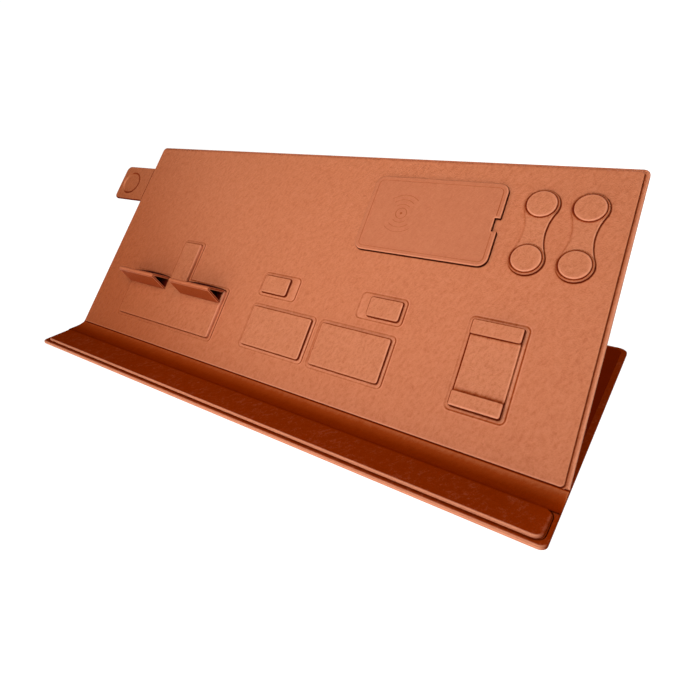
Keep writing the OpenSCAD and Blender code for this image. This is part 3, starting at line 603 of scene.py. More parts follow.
# Fold strip: flat beside the pad, a gentle rise, then a tight bend up into the panel
strip_low, strip_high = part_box("fold_strip")
strip_z = strip_low.z + STRIP_T
slope, steep = math.radians(STRIP_SLOPE), math.radians(OPEN_ANGLE)
bend_y = -STRIP_BEND_R * (math.sin(steep) - math.sin(slope))
bend_z = fold_z - STRIP_BEND_R * (math.cos(slope) - math.cos(steep))
rise_r = (bend_z - strip_z) / (1 - math.cos(slope))
rise_y = bend_y - rise_r * math.sin(slope)
line = [(strip_low.y + (rise_y - strip_low.y) * k / 4, strip_z, 0.0) for k in range(4)]
line += bend(rise_y, strip_z, rise_r, 0.0, slope)
line += bend(bend_y, bend_z, STRIP_BEND_R, slope, steep)[1:]
half = strip_high.x
# Painted light, inset from the strip's end and depth under its top, both in metres
profile = [(0.5, 0.0, STRIP_T), (0, 0, 0.4 * MM), (0.3, 0.12 * MM, 0.12 * MM), (0.3, 0.4 * MM, 0)]
profile += [(0, 1.2 * MM, 0)] + [(0.0, half * k / 6, 0.0) for k in range(1, 6)]
across = [(-half + inset, depth, wear) for wear, inset, depth in profile]
across += [(half - inset, depth, wear) for wear, inset, depth in reversed(profile)]
shape = Shape()
rows = []
# Painted light along the strip: shade beside the lip and in the seam, a highlight up the rise that grows
# toward the right
for i, (y, z, a) in enumerate(line):
    rise = (y - strip_low.y) / -strip_low.y
    gap = -y / math.cos(a) / MM
    strip_painted_light = -0.5 if i < 1 else -0.3 + 1.2 * rise**1.3
    strip_painted_light = -0.8 if gap < SEAM else strip_painted_light * min(1.0, max(0.0, (gap - SEAM) / SEAM))
    rows.append([
        shape.point(
            (x, y + depth * math.sin(a), z - depth * math.cos(a)),
            wear + strip_painted_light * (1.0 if strip_painted_light < 0 else 0.7 + 0.3 * (x + half) / (2 * half)),
        )
        for x, depth, wear in across
    ])
shape.loft(rows, closed=False)
for row_a, row_b in zip(rows, rows[1:]):
    shape.bm.faces.new((row_a[0], row_b[0], row_b[-1], row_a[-1]))
strip = shape.build("fold_leather", fold_leather, MAT, replaces=["fold_strip"])
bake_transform(strip)

soft_plate(
    "base_lining", ["document_liner"], LINER_R, SHEET_EDGE,
    lining, MAT, None, "base", look=Look(0, -0.2), tuck=0.0,
)
soft_plate(
    "underlay_rubber", ["base_underlay"], BASE_FRONT_R, SHEET_EDGE,
    FINISHES["underlay"], MAT, None, "base", grow=-UNDERLAY_INSET,
    high=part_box("base_underlay")[0].z + UNDERLAY_T, look=Look(0, 0), tuck=0.0,
)


# Panel: its turned leather back, and the raised face with a tray round each pad

# A painted highlight on the panel's right crown, and a little painted shade along its top and left wall
soft_plate(
    "panel_leather", ["panel_cover"], [0.0, 0.0, PANEL_R, PANEL_R], PANEL_EDGE,
    panel_leather, MAT, PANEL, "panel",
    look=Look((0.5, 0, 0.2, -0.2), (0.1, 0, -0.2, -0.2), 0), tuck=0.05 * MM,
)

# The lining and the hem round it leave the tab's pocket open to the left
pocket_low, pocket_high = panel_box("tab_pocket")
low, high = panel_box("panel_lining")
mouth = rect((low.x, pocket_low.y), pocket_high)
back = rounded(rect(low, high) + mouth[::-1], [0.0, 0.0, PANEL_R, PANEL_R, 0.0, POCKET_R, POCKET_R, 0.0])
shape = Shape()
bands = []
for height in (low.z, high.z):
    bands.append([shape.ring(back(inset), height) for inset in (0.0, LINING_HEM)])
    shape.fill(*bands[-1])
for lower, upper in zip(*bands):
    shape.bridge(lower, upper)
shape.build("panel_hem_leather", panel_leather, MAT, PANEL, "panel")
shape = Shape()
sheets = [shape.ring(back(LINING_HEM), height) for height in (low.z, high.z)]
shape.loft(sheets)
for sheet in sheets:
    shape.fill(sheet)
shape.build("panel_lining_cloth", lining, MAT, PANEL, "panel", ["panel_lining"])

# The pocket is a shallow channel that opens to the left, with a rounded closed end
shape = Shape()
rows = []
side_low, side_high = pocket_low.y + POCKET_SIDE, pocket_high.y - POCKET_SIDE
# Place across the panel, inset of the sides, and whether it is hollow there
stations = [(pocket_low.x, 0.0, True), (pocket_high.x - POCKET_R, 0.0, True)]
for turn in (0, 20, 40, 60, 80):
    a = math.radians(turn)
    stations.append((pocket_high.x - POCKET_R * (1 - math.sin(a)), POCKET_R * (1 - math.cos(a)), False))
# The pocket's outer edge, as distances in from its side and up from its back
POCKET_EDGE = [(0, 0.6 * MM), (0.2 * MM, 0.2 * MM), (0.7 * MM, 0)]
for x, inset, hollow in stations:
    first, last = pocket_low.y + inset, pocket_high.y - inset
    inner_n = (pocket_low.z + POCKET_T if hollow else high.z) - 0.05 * MM
    section = [(first, high.z)] + [(first + aside, pocket_low.z + up) for aside, up in POCKET_EDGE]
    section += [(last - aside, pocket_low.z + up) for aside, up in reversed(POCKET_EDGE)] + [(last, high.z)]
    section += [(side_high, high.z), (side_high, inner_n), (side_low, inner_n), (side_low, high.z)]
    rows.append([shape.point((x, v, n)) for v, n in section])
shape.tube(rows)
shape.build("tab_pocket_cloth", lining, MAT, PANEL, "panel", ["tab_pocket"])

slab_low, slab_high = panel_box("face_cover")
slab_n = slab_high.z
tray_n = slab_n - TRAY_DEPTH
t_low, t_high = panel_box("t_pad")
clip_low, clip_high = panel_box("clip_plate")
charger_low, charger_high = panel_box("charger_face")

# The T pad's bar reaches the height of its widest points, and its stem stands on the bar
places = panel_places("t_pad")
bar_top = max(p.y for p in places if abs(p.x - t_low.x) < 0.1 * MM) + PAD_R
stem_right = max(p.x for p in places if p.y > t_high.y - 5 * MM)
stem_left = t_low.x + t_high.x - stem_right


def tee(grow, r, inner_r):
    """The T pad's outline, grown. inner_r is the radius where the stem meets the bar."""
    bar = rect(t_low, (t_high.x, bar_top), grow)
    left, right, shoulder, top = stem_left - grow, stem_right + grow, bar_top + grow, t_high.y + grow
    corners = bar[:3] + [(right, shoulder), (right, top), (left, top), (left, shoulder)] + bar[3:]
    return outline(corners, [r, r, r, inner_r, r, r, inner_r, r])


def tie_size(side):
    """A tie's lowest corner, its centre, the radius of its ends and the distance between them."""
    low, high = panel_box(*(f"tie_{side}_{part}" for part in ("lower_end", "waist", "upper_end")))
    reach_r = (high.x - low.x) / 2
    return low, (low + high) / 2, reach_r, high.y - low.y - 2 * reach_r


def tie_outer(side, steps=16):
    """A tie's outline as a function of its inset, counter-clockwise from its lowest point."""
    _, centre, reach_r, span = tie_size(side)
    waist_r = ((4 * TIE_WAIST**2 + span**2) / 4 - reach_r**2) / (2 * reach_r - 2 * TIE_WAIST)
    waist_x = TIE_WAIST + waist_r
    touch = math.atan2(span / 2, waist_x)

    def outer(inset):
        r = reach_r - inset
        right = arc((0, -span / 2), r, -math.pi / 2, touch, steps)[:-1]
        right += arc((waist_x, 0), waist_r + inset, math.pi + touch, math.pi - touch, 2 * steps)
        right += arc((0, span / 2), r, -touch, math.pi / 2, steps)[1:]
        return [p + centre.xy for p in right + [Vector((-p.x, p.y)) for p in reversed(right[1:-1])]]

    return outer


# Painted light of each tray's floor, of its lip and of the foot of what stands in it: shade at the lip and
# the foot
CARD_FOOT = (-0.2, -0.5, -0.5, -0.7)
TRAY_PAINTED_LIGHT = {
    "card_pad_left": ((0.9, 0.4, 0.15, 0.2), (-0.65, -0.15, -0.12, -0.2), CARD_FOOT),
    "card_pad_right": ((0.6, 0.3, -0.1, 0.2), (-0.65, -0.15, -0.2, -0.2), CARD_FOOT),
    "clip_plate": ((0.45, 0, 0.1, 0), (-0.55, -0.5, -0.1, -0.4), (-0.2, -0.9, -1, -0.9)),
    "block_left": ((0.3, 0.3, 0.15, 0.1), (-0.7, -0.25, -0.15, -0.3), (-0.3, -0.7, -0.8, -0.9)),
}
TRAY_PAINTED_LIGHT["block_right"] = TRAY_PAINTED_LIGHT["block_left"]

# Outlines of each tray and of what stands in it, and the tray's painted light
trays = [(
    lambda inset: tee(TRAY_GAP - inset, TRAY_R - inset, 0.6 * MM),
    lambda inset: tee(-inset, PAD_R - inset, 0.6 * MM),
    ((0.35, 0.1, 0, 0), (-0.85, -0.1, -0.1, -0.15), (0, -0.3, -0.6, -0.6)),
)]
for name, painted_lights in TRAY_PAINTED_LIGHT.items():
    low, high = panel_box(name)
    slide = JOINTS.get(f"{name}_slide")
    travel = slide["range_m"][1] * slide["axis"][0] if slide else 0.0
    wide = rect((low.x + min(0, travel), low.y), (high.x + max(0, travel), high.y), TRAY_GAP)
    trays.append((rounded(wide, TRAY_R), rounded(rect(low, high), PAD_R), painted_lights))

# How far out of a standing piece's outline a ring lies, in mm, and its shares of the foot's and band's
# painted light
SEAT_STEPS = (
    (2.6, 0, 0), (2.0, 0, 0.7), (1.2, 0.15, 1), (0.75, 0.8, 0.1), (0.1, 1, 0), (-0.6, 0.8, 0),
    (-1.4, 0.2, 0), (-2.4, 0, 0),
)


def seat(shape, outer, height, beside, foot):
    """Surface round a standing piece: painted shade at its foot and painted light beside. Returns its outer
    loop.
    """
    normals = outward(outer)
    painted_lights = list(zip(sided(normals, foot), sided(normals, beside)))
    rings = [
        shape.ring(outer(-out * MM), height, [f * at_foot + b * at_band for f, b in painted_lights])
        for out, at_foot, at_band in SEAT_STEPS
    ]
    shape.loft(rings)
    shape.cap(rings[-1])
    return rings[0]


# The raised face: a painted highlight on its lower crown, and painted shade on its walls and round its foot
shape = Shape()
slab = crown(
    shape, rounded(rect(slab_low, slab_high), SLAB_R), slab_low.z, slab_n, SLAB_EDGE,
    look=Look((0.05, 0.45, 0.05, -0.1), (-0.75, -0.9, -0.45, -0.5), (-0.6, -0.9, -0.35, -0.45)),
    skirt=((2.2, (0, 0, 0, -0.2)), (1.2, (-0.15, -0.5, 0, -0.2)), (0.6, (-0.6, -0.9, -0.2, -0.4))),
    closed=False,
)
holes = []
deep = -TRAY_DEPTH / MM
for tray_outer, pad_outer, (floor_painted_light, lip_painted_light, foot_painted_light) in trays:
    # A faint painted highlight on the rim outside each tray's shaded lip
    rim_painted_light = tuple(-0.35 * wear for wear in lip_painted_light)
    rings = shape.stack(tray_outer, slab_n, (
        (-2.4, 0, 0), (-1.7, 0.0, rim_painted_light), (-0.8, -0.02, rim_painted_light), (-0.4, -0.1, lip_painted_light),
        (0.8, deep + 0.02, lip_painted_light), (1.4, deep, floor_painted_light),
    ))
    shape.fill(rings[-1], seat(shape, pad_outer, tray_n, floor_painted_light, foot_painted_light))
    holes.append(rings[0])
# Painted shade on the face round each tie's foot, darkest on its right and bottom
for side in SIDES:
    holes.append(seat(shape, tie_outer(side), slab_n, (0.15, 0, -0.1, -0.1), (-0.9, -1, -0.25, -0.2)))
x0, y0, x1, y1 = charger_low.x, charger_low.y, charger_high.x, charger_high.y
mid_v = (y0 + y1) / 2
notch_low, notch_high = mid_v + NOTCH_UP - NOTCH_W / 2, mid_v + NOTCH_UP + NOTCH_W / 2


def notched(inner_r, steps=6):
    """The charging plate's outline, with the radius of the notch's inner corners."""
    corners = [
        (x0, y0), (x1, y0), (x1, notch_low), (x1 - NOTCH_D, notch_low),
        (x1 - NOTCH_D, notch_high), (x1, notch_high), (x1, y1), (x0, y1),
    ]
    notch_r = [NOTCH_R, inner_r, inner_r, NOTCH_R]
    return rounded(corners, [CHARGER_R, CHARGER_R, *notch_r, CHARGER_R, CHARGER_R], steps)


# Painted shade on the wall of the well round the charging plate, most on its right and bottom
well = shape.stack(notched(1.8 * MM), slab_n, (
    (-1.4, 0, 0), (-0.8, 0, (0.15, -0.1, 0, 0)), (-0.15, -0.05, (-0.6, -0.7, -0.15, -0.1)),
    (0, -1, (-1, -1, -0.3, -0.2)),
))
shape.fill(slab[-1], *holes, well[0])
shape.build("face_leather", panel_leather, MAT, PANEL, "panel", ["face_cover"])


# Pads

# How far the patches of painted shade under the ledges keep from the T pad's edges
PATCH_CLEAR = PAD_EDGE + 1.1 * MM

# A painted highlight on the T pad's right side, painted shade round its other walls and foot, and under the
# ledges
shape = Shape()
rings = crown(
    shape, lambda inset: tee(-inset, PAD_R - inset, 0.5 * MM), t_low.z, t_high.z, PAD_EDGE,
    look=Look((0.7, 0.25, 0.1, 0.1), (0.9, -0.8, -0.5, -0.7), (0.3, -0.5, -0.6, -0.8), (0, 0, -0.6, -0.8)),
    tuck=0.0,
)
patches = []
for side in SIDES:
    root, tip = ledge_line(side, INTO_PANEL)
    low, high = panel_box(f"ledge_{side}_top_board")
    under_low = max(low.x, t_low.x + PATCH_CLEAR), 2 * tip.y - root.y
    under_high = min(high.x, t_high.x - PATCH_CLEAR), min(root.y, bar_top - PATCH_CLEAR)
    under = rounded(rect(under_low, under_high), 1.5 * MM)
    patches.append(shape.patch(under, t_high.z, ((0.9, 0, 0), (1.4, 0, -1), (2.2, 0, -1))))
shape.fill(rings[-1], *patches)
shape.build("t_pad_leather", pad_leather, PAD, PANEL, "panel", ["t_pad"])
for side in SIDES:
    for kind, look in (("card_pad", PAD_LOOK), ("block", BLOCK_LOOK)):
        soft_plate(
            f"{kind}_{side}_leather", [f"{kind}_{side}"], PAD_R, PAD_EDGE,
            pad_leather, PAD, PANEL, f"{kind}_{side}", look=look, tuck=0.15 * MM,
        )


# Bar clip: a dished plate, and a bar across each end

DISH_STEPS = 48
bar_low, bar_high = panel_box("clip_lower_bar")
plate_n = bar_low.z
bar_w = bar_high.y - bar_low.y
open_half = (clip_high.y - clip_low.y) / 2 - bar_w
clip_mid = (clip_low.y + clip_high.y) / 2

# Inset and drop below the plate's top, in mm, and painted light on the left and right sides. The first is at
# the foot.
side_profile = [
    (0.3, None, -1, -0.4), (0, 1.1, -1, -0.8), (0, 0.9, -1, -0.8), (0.25, 0.25, -1, -0.1),
    (0.7, 0.05, -1, 0.4), (1.05, 0, -0.9, 0.4), (1.7, 0, 0.15, 0.3), (2.5, 0, 0, 0),
]
section = [(clip_low.x + inset * MM, drop, wear) for inset, drop, wear, _ in side_profile]
section += [(clip_high.x - inset * MM, drop, wear) for inset, drop, _, wear in reversed(side_profile)]
# Place along the plate, and how far its top is dished there
dished = [-open_half + 2 * open_half * k / DISH_STEPS for k in range(DISH_STEPS + 1)]
under_bar = [open_half + 1 * MM, open_half + bar_w - 0.4 * MM]
stations = [(-v, 0.1 * MM) for v in reversed(under_bar)]
stations += [(v, CLIP_DISH * (1 - (v / open_half) ** 2)) for v in dished]
stations += [(v, 0.1 * MM) for v in under_bar]
shape = Shape()
rows = []
# The plate darkens toward each bar: painted shade
for v, dish in stations:
    shade_reach = (5.0 if v < 0 else 2.2) * MM
    near_bar = max(0.0, 1 - (open_half - abs(v)) / shade_reach) if abs(v) < open_half else 1.0
    row = []
    for x, drop, wear in section:
        n = clip_low.z if drop is None else plate_n - dish - drop * MM
        row.append(shape.point((x, clip_mid + v, n), wear - 0.9 * near_bar**2))
    rows.append(row)
shape.tube(rows)
shape.build("clip_plate_leather", pad_leather, PAD, PANEL, "bar_clip", ["clip_plate"])
# Painted shade on the bars' walls and feet, and a painted highlight on their crowns, most on the lower bar's
# front
for end, front in (("lower", 0.7), ("upper", 0.1)):
    dark = (-1, -1, -0.9, -0.7)
    soft_plate(
        f"clip_{end}_bar_leather", [f"clip_{end}_bar"], CLIP_R, PAD_EDGE,
        pad_leather, PAD, PANEL, "bar_clip", low=clip_low.z + 0.1 * MM,
        look=Look((0.5, front, 0.2, 0.2), dark, dark, (0, 0, -1, -0.9)),
    )


# Charger face, with grooves pressed into it

GROOVE_INSET, GROOVE_W, GROOVE_D = 5.05 * MM, 1.1 * MM, 0.25 * MM
# How far the groove's ends keep from the notch
GROOVE_CLEAR = 2.5 * MM
# Painted shade in a groove's wall that faces right, down, left and up
GROOVE_PAINTED_SHADE = (-0.45, -0.3, -0.35, -0.25)
# The sign: its place from the plate's left edge and middle, its dot and ring, and the waves above and below
SIGN_LEFT, SIGN_UP, SIGN_DOT, SIGN_RING = 46 * MM, 2 * MM, 1.7 * MM, 6.75 * MM
WAVE_R, WAVE_STEP, WAVE_HALF = 11.7 * MM, 6.1 * MM, math.radians(42)


def stroke(shape, path, top, closed=False):
    """A groove along a path. Returns the loops that the face round it is filled to."""
    count = len(path)
    lines = []
    for share in (-1, -0.35, 0.35, 1):
        points = []
        for i, p in enumerate(path):
            before = path[i - 1] if closed or i > 0 else p
            after = path[(i + 1) % count] if closed or i < count - 1 else p
            along = (after - before).normalized()
            points.append(p + Vector((along.y, -along.x)) * share * GROOVE_W / 2)
        deep = abs(share) < 0.5
        painted_lights = sided([(p - q).normalized() for p, q in zip(points, path)], GROOVE_PAINTED_SHADE) if deep else 0.0
        lines.append(shape.ring(points, top - GROOVE_D if deep else top, painted_lights))
    shape.loft(lines, closed)
    if closed:
        return [lines[0], lines[-1]]
    for end in (0, -1):
        shape.bm.faces.new([side_line[end] for side_line in lines])
    return [lines[0] + list(reversed(lines[-1]))]


top = charger_high.z
skin = -CHARGER_SKIN / MM
shape = Shape()
# Painted shade on the plate's walls that face right and down, and a painted highlight along its crown on
# those sides
rings = shape.stack(notched(0.5 * MM, 8), top, (
    (0.2, skin, (-1, -1, -0.2, -0.2)), (0, skin, (-1, -1, -0.1, -0.1)),
    (0, -0.35, (-0.65, -0.8, 0, 0)), (0.12, -0.15, (-0.5, 0.1, 0, 0)),
    (0.35, -0.03, (0.25, 0.5, 0, 0)), (0.8, 0, (0.25, 0.5, 0, 0)),
    (1.3, 0, (0.35, 0.2, 0, 0)), (2.0, 0, 0),
))
inner = rounded(rect(charger_low, charger_high, -GROOVE_INSET), CHARGER_R - GROOVE_INSET, 8)(0)
start = next(i for i, p in enumerate(inner) if p.y > mid_v)
path = inner[start:] + inner[:start]
groove_x = path[0].x
path = [Vector((groove_x, notch_high + GROOVE_CLEAR)), *path, Vector((groove_x, notch_low - GROOVE_CLEAR))]
sign = (x0 + SIGN_LEFT, mid_v + SIGN_UP)
loops = [rings[-1], *stroke(shape, path, top)]
loops += stroke(shape, circle(sign, SIGN_RING, 48)(0), top, closed=True)
# The sign's pressed dot is a little darker: painted shade
loops.append(shape.patch(circle(sign, SIGN_DOT, 24), top, ((0, 0, 0), (0.3, -0.3, -0.4))))
for middle in (math.pi / 2, 3 * math.pi / 2):
    for i in range(3):
        wave = arc(sign, WAVE_R + i * WAVE_STEP, middle - WAVE_HALF, middle + WAVE_HALF, 20)
        loops += stroke(shape, wave, top)
shape.fill(*loops)
shape.build("charger_leather", charger_leather, PAD, PANEL, "panel", ["charger_face"])


# Side tab, with a round dimple and a painted shadow where it goes in under the panel's edge

# The dimple's middle lies this far to the left of the raised face
DIMPLE_LEFT = 49.5 * MM
# The tab's width is taken over its outer end, and its leather stops short of its inner one
NECK_REACH, NECK_END = 20 * MM, 6 * MM

tab_low, tab_high = panel_box("side_tab")
neck = [p.y for p in panel_places("side_tab") if p.x < tab_low.x + NECK_REACH]
neck_low = Vector((tab_low.x, min(neck)))
neck_high = Vector((tab_high.x - NECK_END, max(neck)))
shape = Shape()
# Painted shade on the tab's walls and lower crown; in the dimple, a painted highlight on the left, painted
# shade elsewhere
rings = crown(
    shape, rounded(rect(neck_low, neck_high), [TAB_R, 0.0, 0.0, TAB_R]), tab_low.z, tab_high.z, TAB_EDGE,
    look=Look(
        (0, -0.7, 0.1, -0.1), (-0.6, -0.6, -0.3, -0.3), (-0.8, -0.6, -0.3, -0.3), (0, -0.6, -0.2, -0.3)
    ),
    tuck=0.15 * MM,
)
dimple = Vector((slab_low.x - DIMPLE_LEFT, (neck_low.y + neck_high.y) / 2))
sunk = -DIMPLE_DEPTH / MM
pressed = shape.patch(circle(dimple, DIMPLE_R), tab_high.z, (
    (-1.8, 0, 0), (-1, 0, (0.05, 0, 0.6, -0.2)), (-0.2, -0.1, (-0.6, -0.6, 1, -0.6)),
    (0.8, -0.4, (-0.8, -0.8, 1, -0.6)), (2.2, -0.6, (-0.4, -0.5, 1, -0.1)),
    (3.6, sunk, (-0.1, -0.1, 0, 0)), (5.0, sunk, 0),
))
left, clear = panel_box("panel_cover")[0].x, 2.8 * MM
# Painted shadow of the panel's edge on the tab
painted_edge_shadow = rect((left - 3.4 * MM, neck_low.y + clear), (left + 1.2 * MM, neck_high.y - clear))
line = shape.patch(rounded(painted_edge_shadow, 0.6 * MM), tab_high.z, ((0, 0, 0), (0.5, 0, -0.9)))
shape.fill(rings[-1], pressed, line)
shape.build("tab_leather", pad_leather, PAD, PANEL, "side_tab", ["side_tab"])


# Ledges: two boards each, with leather over the tip and at the root

# Share of a top board's length that carries painted shade toward its hinge
LENS_SHARE = 0.6
LENS_EDGE = 1.6 * MM
# The crease's arc is drawn in a little at its middle
CREASE_STEPS, CREASE_FLAT = 12, 0.6 * MM
# Place along the crease, as a share of its length, and how full it is there
CREASE_ENDS = ((-0.5, 0.75), (-0.498, 0.9), (-0.49, 1), (0.49, 1), (0.498, 0.9), (0.5, 0.75))
thick = -LEDGE_T / MM
# Painted highlights along each board's edges, and painted shade on its inner face and along the middle of its
# wall
BOARD_STEPS = (
    (1.6, 0, -1), (0.6, 0, -1), (0.12, -0.15, 0.4), (0, -0.5, 0.7), (0, thick + 1.1, -0.6),
    (0, thick + 0.5, 0), (0.12, thick + 0.15, 0.8), (0.5, thick, 0.6), (1.3, thick, 0),
)


def board_frame(first, last):
    """A board's own frame: across, from one hinge to the next, and out of its inner side."""
    along = (last - first).normalized()
    return placed(X_AXIS, along, X_AXIS.cross(along), first)


def lens(half_width, start, reach, steps=24):
    """Outline of the painted shade on a top board: straight at the hinge, bowed on the other side."""
    across = [-half_width + 2 * half_width * k / steps for k in range(steps + 1)]
    bow = [start + 0.3 * MM + (reach - start) * max(0.0, 1 - (u / half_width) ** 2) ** 0.5 for u in across]
    straight = [Vector((-half_width, start)), Vector((half_width, start))]
    return straight + [Vector((u, v)) for u, v in reversed(list(zip(across, bow)))]


for side in SIDES:
    root, tip = ledge_line(side)
    low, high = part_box(f"ledge_{side}_top_board")
    width = high.x - low.x
    run = (tip - root).length
    spread = 2 * (INTO_PANEL @ root - INTO_PANEL @ tip).y
    foot = root - UP * spread
    for part, first, last in (("top", root, tip), ("front", tip, foot)):
        shape = Shape()
        corners = rect((-width / 2, 0.15 * MM), (width / 2, run - 0.15 * MM))
        rings = shape.stack(rounded(corners, LEDGE_R), 0.0, BOARD_STEPS)
        shape.cap(rings[0], down=True)
        if part == "top":
            # Painted shade over the top board's outer face toward its hinge
            shades = []
            for edge, wear in ((0, 0.1), (1.2 * MM, -0.5)):
                shade = lens(width / 2 - LENS_EDGE - edge, LENS_EDGE + edge, run * LENS_SHARE - edge)
                shades.append(shape.ring(shade, -LEDGE_T, wear))
            shape.loft(shades)
            shape.cap(shades[-1])
            shape.fill(rings[-1], shades[0])
        else:
            shape.cap(rings[-1])
        shape.build(
            f"ledge_{side}_{part}_leather", ledge_leather, PAD, board_frame(first, last),
            f"ledge_{side}_{part}", [f"ledge_{side}_{part}_board"],
        )
    # The crease wraps the tip, from the top board's outer corner round to the front board's
    out = -X_AXIS.cross((tip - root).normalized())
    away = -X_AXIS.cross((foot - tip).normalized())
    crown_way = (out + away).normalized()
    sweep = out.angle(away)
    # A painted highlight along the crease's crown, and painted shade on its inside
    shape = Shape()
    rows = []
    for x, shrink in CREASE_ENDS:
        row = []
        aside = Vector((x * (width - 2 * MM), 0, 0))
        for k in range(CREASE_STEPS + 1):
            turn = sweep * k / CREASE_STEPS
            way = (out * math.sin(sweep - turn) + away * math.sin(turn)) / math.sin(sweep)
            place = way * (LEDGE_T - 0.1 * MM) * shrink - crown_way * way.dot(crown_way) * CREASE_FLAT
            row.append(shape.point(tip + aside + place, 0.35 * math.sin(math.pi * k / CREASE_STEPS)))
        row += [shape.point(tip + aside + inner * 0.4 * MM, -1.0) for inner in (away, out)]
        rows.append(row)
    shape.tube(rows)
    replaced = [f"ledge_{side}_crease"]
    crease = shape.build(f"ledge_{side}_crease_leather", ledge_leather, PAD, replaces=replaced)
    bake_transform(crease)


# The leather at each ledge's hinge, all painted shade: it lies on the panel in a bow and turns up onto the
# top board

HINGE_BOW, HINGE_LAP, HINGE_T = 3.6 * MM, 1.2 * MM, 0.4 * MM
HINGE_STEPS = 24

for side in SIDES:
    root, tip = ledge_line(side, INTO_PANEL)
    low, high = panel_box(f"ledge_{side}_top_board")
    along = (tip - root).normalized()
    out = Vector((0, along.z, -along.y))
    half = (high.x - low.x) / 2 - 0.4 * MM
    mid = (high.x + low.x) / 2
    edge = root + out * LEDGE_T
    shape = Shape()
    rows = []
    for k in range(HINGE_STEPS + 1):
        share = -1 + 2 * k / HINGE_STEPS
        bow = HINGE_BOW * math.sqrt(max(0.0, 1 - share**2)) + 0.3 * MM
        x = mid + half * share
        upper = [
            (edge + along * (HINGE_LAP * (0.3 + 0.7 * bow / HINGE_BOW)) + out * 0.15 * MM, -0.3),
            (edge + along * 0.5 * MM + out * 0.25 * MM, -1.0),
            (Vector((0, edge.y + bow * 0.25, t_high.z + 0.5 * MM)), -1.0),
            (Vector((0, edge.y + bow * 0.7, (t_high.z + tray_n) / 2)), -1.0),
            (Vector((0, edge.y + bow, tray_n + 0.35 * MM)), -0.8),
        ]
        row = [shape.point((x, p.y, p.z), wear) for p, wear in upper]
        for p, _ in reversed(upper):
            row.append(shape.point((x, p.y - out.y * HINGE_T, p.z - HINGE_T * 0.5), -1.0))
        rows.append(row)
    shape.tube(rows)
    hinge = shape.build(f"ledge_{side}_hinge_shade", ledge_leather, PAD, PANEL)
    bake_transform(hinge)


# Cable ties: a waisted strap each, and a disc at each end. The waist stands a little off the face.

WAIST_LIFT, WAIST_REACH, WAIST_BEND = 0.6 * MM, 9 * MM, 2.5 * MM
strap_t = TIE_STRAP_T / MM
# Painted shade on the strap's walls and round each disc's foot, and painted highlights on their crowns
STRAP_STEPS = (
    (2.0, 0, 0), (0.5, 0, (-0.6, -0.8, -0.5, -0.4)), (0.1, 0.5, (-0.9, -1, -0.5, -0.5)),
    (0, 1.3, (-0.9, -1, -0.35, -0.4)), (0.1, 1.8, (-0.3, -0.3, -0.2, -0.2)),
    (0.4, 2.2, (0.5, 0.4, -0.1, 0)), (0.95, strap_t, (0.4, 0.25, -0.1, 0)), (1.7, strap_t, 0),
)
DISC_STEPS = (
    (-2.3, 0.02, (0, 0, -0.2, 0)), (-1.6, 0.04, (0, 0, -0.75, -0.3)),
    (-0.9, 0.05, (-0.4, -0.4, -1, -0.9)), (-0.3, 0.06, (-1, -0.9, -1, -1)),
    (0.1, 0.6, (-1, -0.8, -1, -0.8)), (0, 1.1, (-0.5, -0.4, -0.8, -0.6)),
    (0.15, 1.5, (0.2, 0.2, -0.2, -0.1)), (0.5, 1.85, (0.5, 0.75, 0.2, 0.3)),
    (1.1, 2.0, (0.5, 0.7, 0.1, 0.2)), (2.0, 1.96, (0.1, 0.1, 0, 0)), (4.0, 1.9, 0),
)

for side in SIDES:
    low, centre, _, span = tie_size(side)
    shape = Shape()
    rings = shape.stack(tie_outer(side), low.z, STRAP_STEPS)
    for vert in rings[0] + rings[1]:
        vert.co.z += WAIST_LIFT * max(0.0, 1 - abs(vert.co.y - centre.y) / WAIST_REACH)
    for ring in (rings[0], rings[-1]):
        count = len(ring)
        for k in range(count // 2):
            corners = [ring[k], ring[k + 1], ring[(count - k - 1) % count], ring[(count - k) % count]]
            shape.bm.faces.new([v for i, v in enumerate(corners) if v not in corners[:i]])
    replaced = [f"tie_{side}_{part}" for part in ("lower_end", "waist", "upper_end")]
    strap = shape.build(f"tie_{side}_strap", pad_leather, PAD, PANEL, replaces=replaced)
    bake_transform(strap)
    for end, sign in (("lower", -1), ("upper", 1)):
        hub = centre + Vector((0, sign * span / 2, 0))
        shape = Shape()
        rings = shape.stack(circle(hub, TIE_DISC_R), low.z + TIE_STRAP_T, DISC_STEPS)
        shape.cap(rings[0], down=True)
        shape.cap(rings[-1])
        shape.build(f"tie_{side}_{end}_disc", pad_leather, PAD, PANEL, f"tie_{side}_{end}")


# Floor, light and camera

FLOOR_SIZE = 60.0
# The floor glows a little more away from the object, over these distances from the middle
GLOW = {"From_Min": 0.45, "From_Max": 0.9, "To_Min": 0.955, "To_Max": 1.01}

floor_mesh = bpy.data.meshes.new("floor")
floor_corners = rect((-FLOOR_SIZE, -FLOOR_SIZE), (FLOOR_SIZE, FLOOR_SIZE))
floor_mesh.from_pydata([(x, y, 0) for x, y in floor_corners], [], [(0, 1, 2, 3)])
floor = linked("floor", floor_mesh)
pale, nodes, shader, place = new_material("floor_pale")
away = nodes.maths("LENGTH", place, kind="VectorMath")
glow = nodes.new("MapRange", Value=away, **GLOW).outputs[0]
nodes.fit(
    shader, Base_Color=(0.20, 0.20, 0.20), Roughness=1.0, Specular_IOR_Level=0.0, Emission_Color=WHITE,
    Emission_Strength=glow,
)
floor_mesh.materials.append(pale)

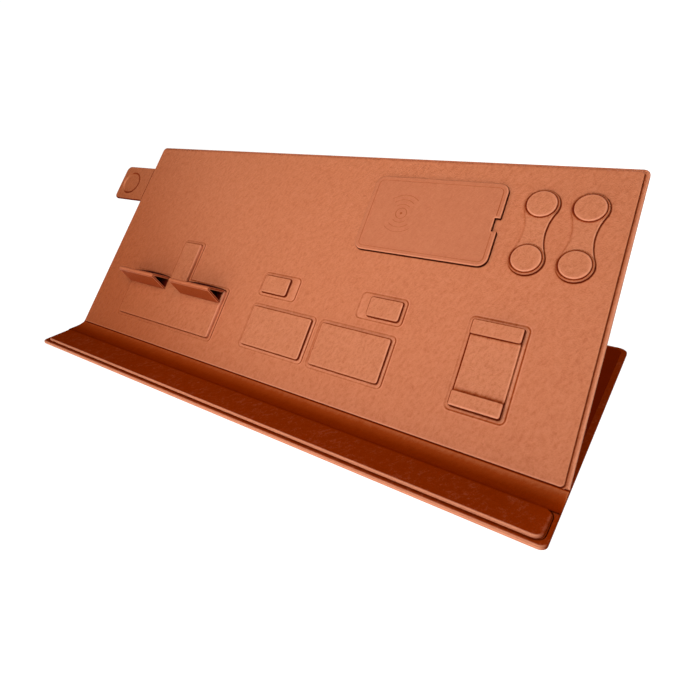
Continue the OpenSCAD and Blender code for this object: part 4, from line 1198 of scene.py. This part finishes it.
# The backdrop looks white, and lights the object softly
WORLD_SEEN, WORLD_LIGHT = 1.05, 0.06
world = bpy.data.worlds.new("studio")
bpy.context.scene.world = world
nodes = Nodes(world)
seen = nodes.new("LightPath").outputs["Is Camera Ray"]
strength = nodes.scaled(seen, WORLD_SEEN - WORLD_LIGHT, WORLD_LIGHT)
nodes.fit(nodes.tree.nodes["Background"], Color=WHITE, Strength=strength)

AIM = Vector((0.0, 0.10, 0.10))
# Name, place, size and energy
LIGHTS = [
    ("over", (0.14, -0.47, 0.73), (0.6, 0.5), 5.2),
    ("front", (0.10, -0.75, 0.25), (0.9, 0.4), 2.0),
    ("left", (-1.10, -0.82, 1.20), (1.2, 0.8), 3.4),
    ("rear", (0.55, 1.55, 1.01), (1.2, 0.8), 24.0),
]
for name, place, size, energy in LIGHTS:
    data = bpy.data.lights.new(name, "AREA")
    data.shape = "RECTANGLE"
    data.size, data.size_y = size
    data.energy = energy
    lamp = linked(name, data)
    lamp.location = place
    lamp.rotation_euler = (Vector(place) - AIM).to_track_quat("Z", "Y").to_euler()

CAMERA_AT = Vector((0.4052, -0.4316, 0.3434))
CAMERA_LOOK = Vector((-0.56936, 0.73563, -0.36698)).normalized()
CAMERA_ROLL = -0.0533
CAMERA_LENS, CAMERA_SHIFT, CAMERA_FAR = 28.77, (0.0748, -0.0748), 200.0
level = CAMERA_LOOK.cross(Vector((0, 0, 1))).normalized()
above = level.cross(CAMERA_LOOK)
right = level * math.cos(CAMERA_ROLL) + above * math.sin(CAMERA_ROLL)
up = above * math.cos(CAMERA_ROLL) - level * math.sin(CAMERA_ROLL)
camera_data = bpy.data.cameras.new("camera")
camera_data.sensor_width = 36.0
camera_data.lens = CAMERA_LENS
camera_data.shift_x, camera_data.shift_y = CAMERA_SHIFT
camera_data.clip_end = CAMERA_FAR
camera = linked("camera", camera_data)
camera.matrix_world = placed(right, up, -CAMERA_LOOK, CAMERA_AT)
bpy.context.scene.camera = camera
bpy.context.scene.view_settings.view_transform = "Standard"
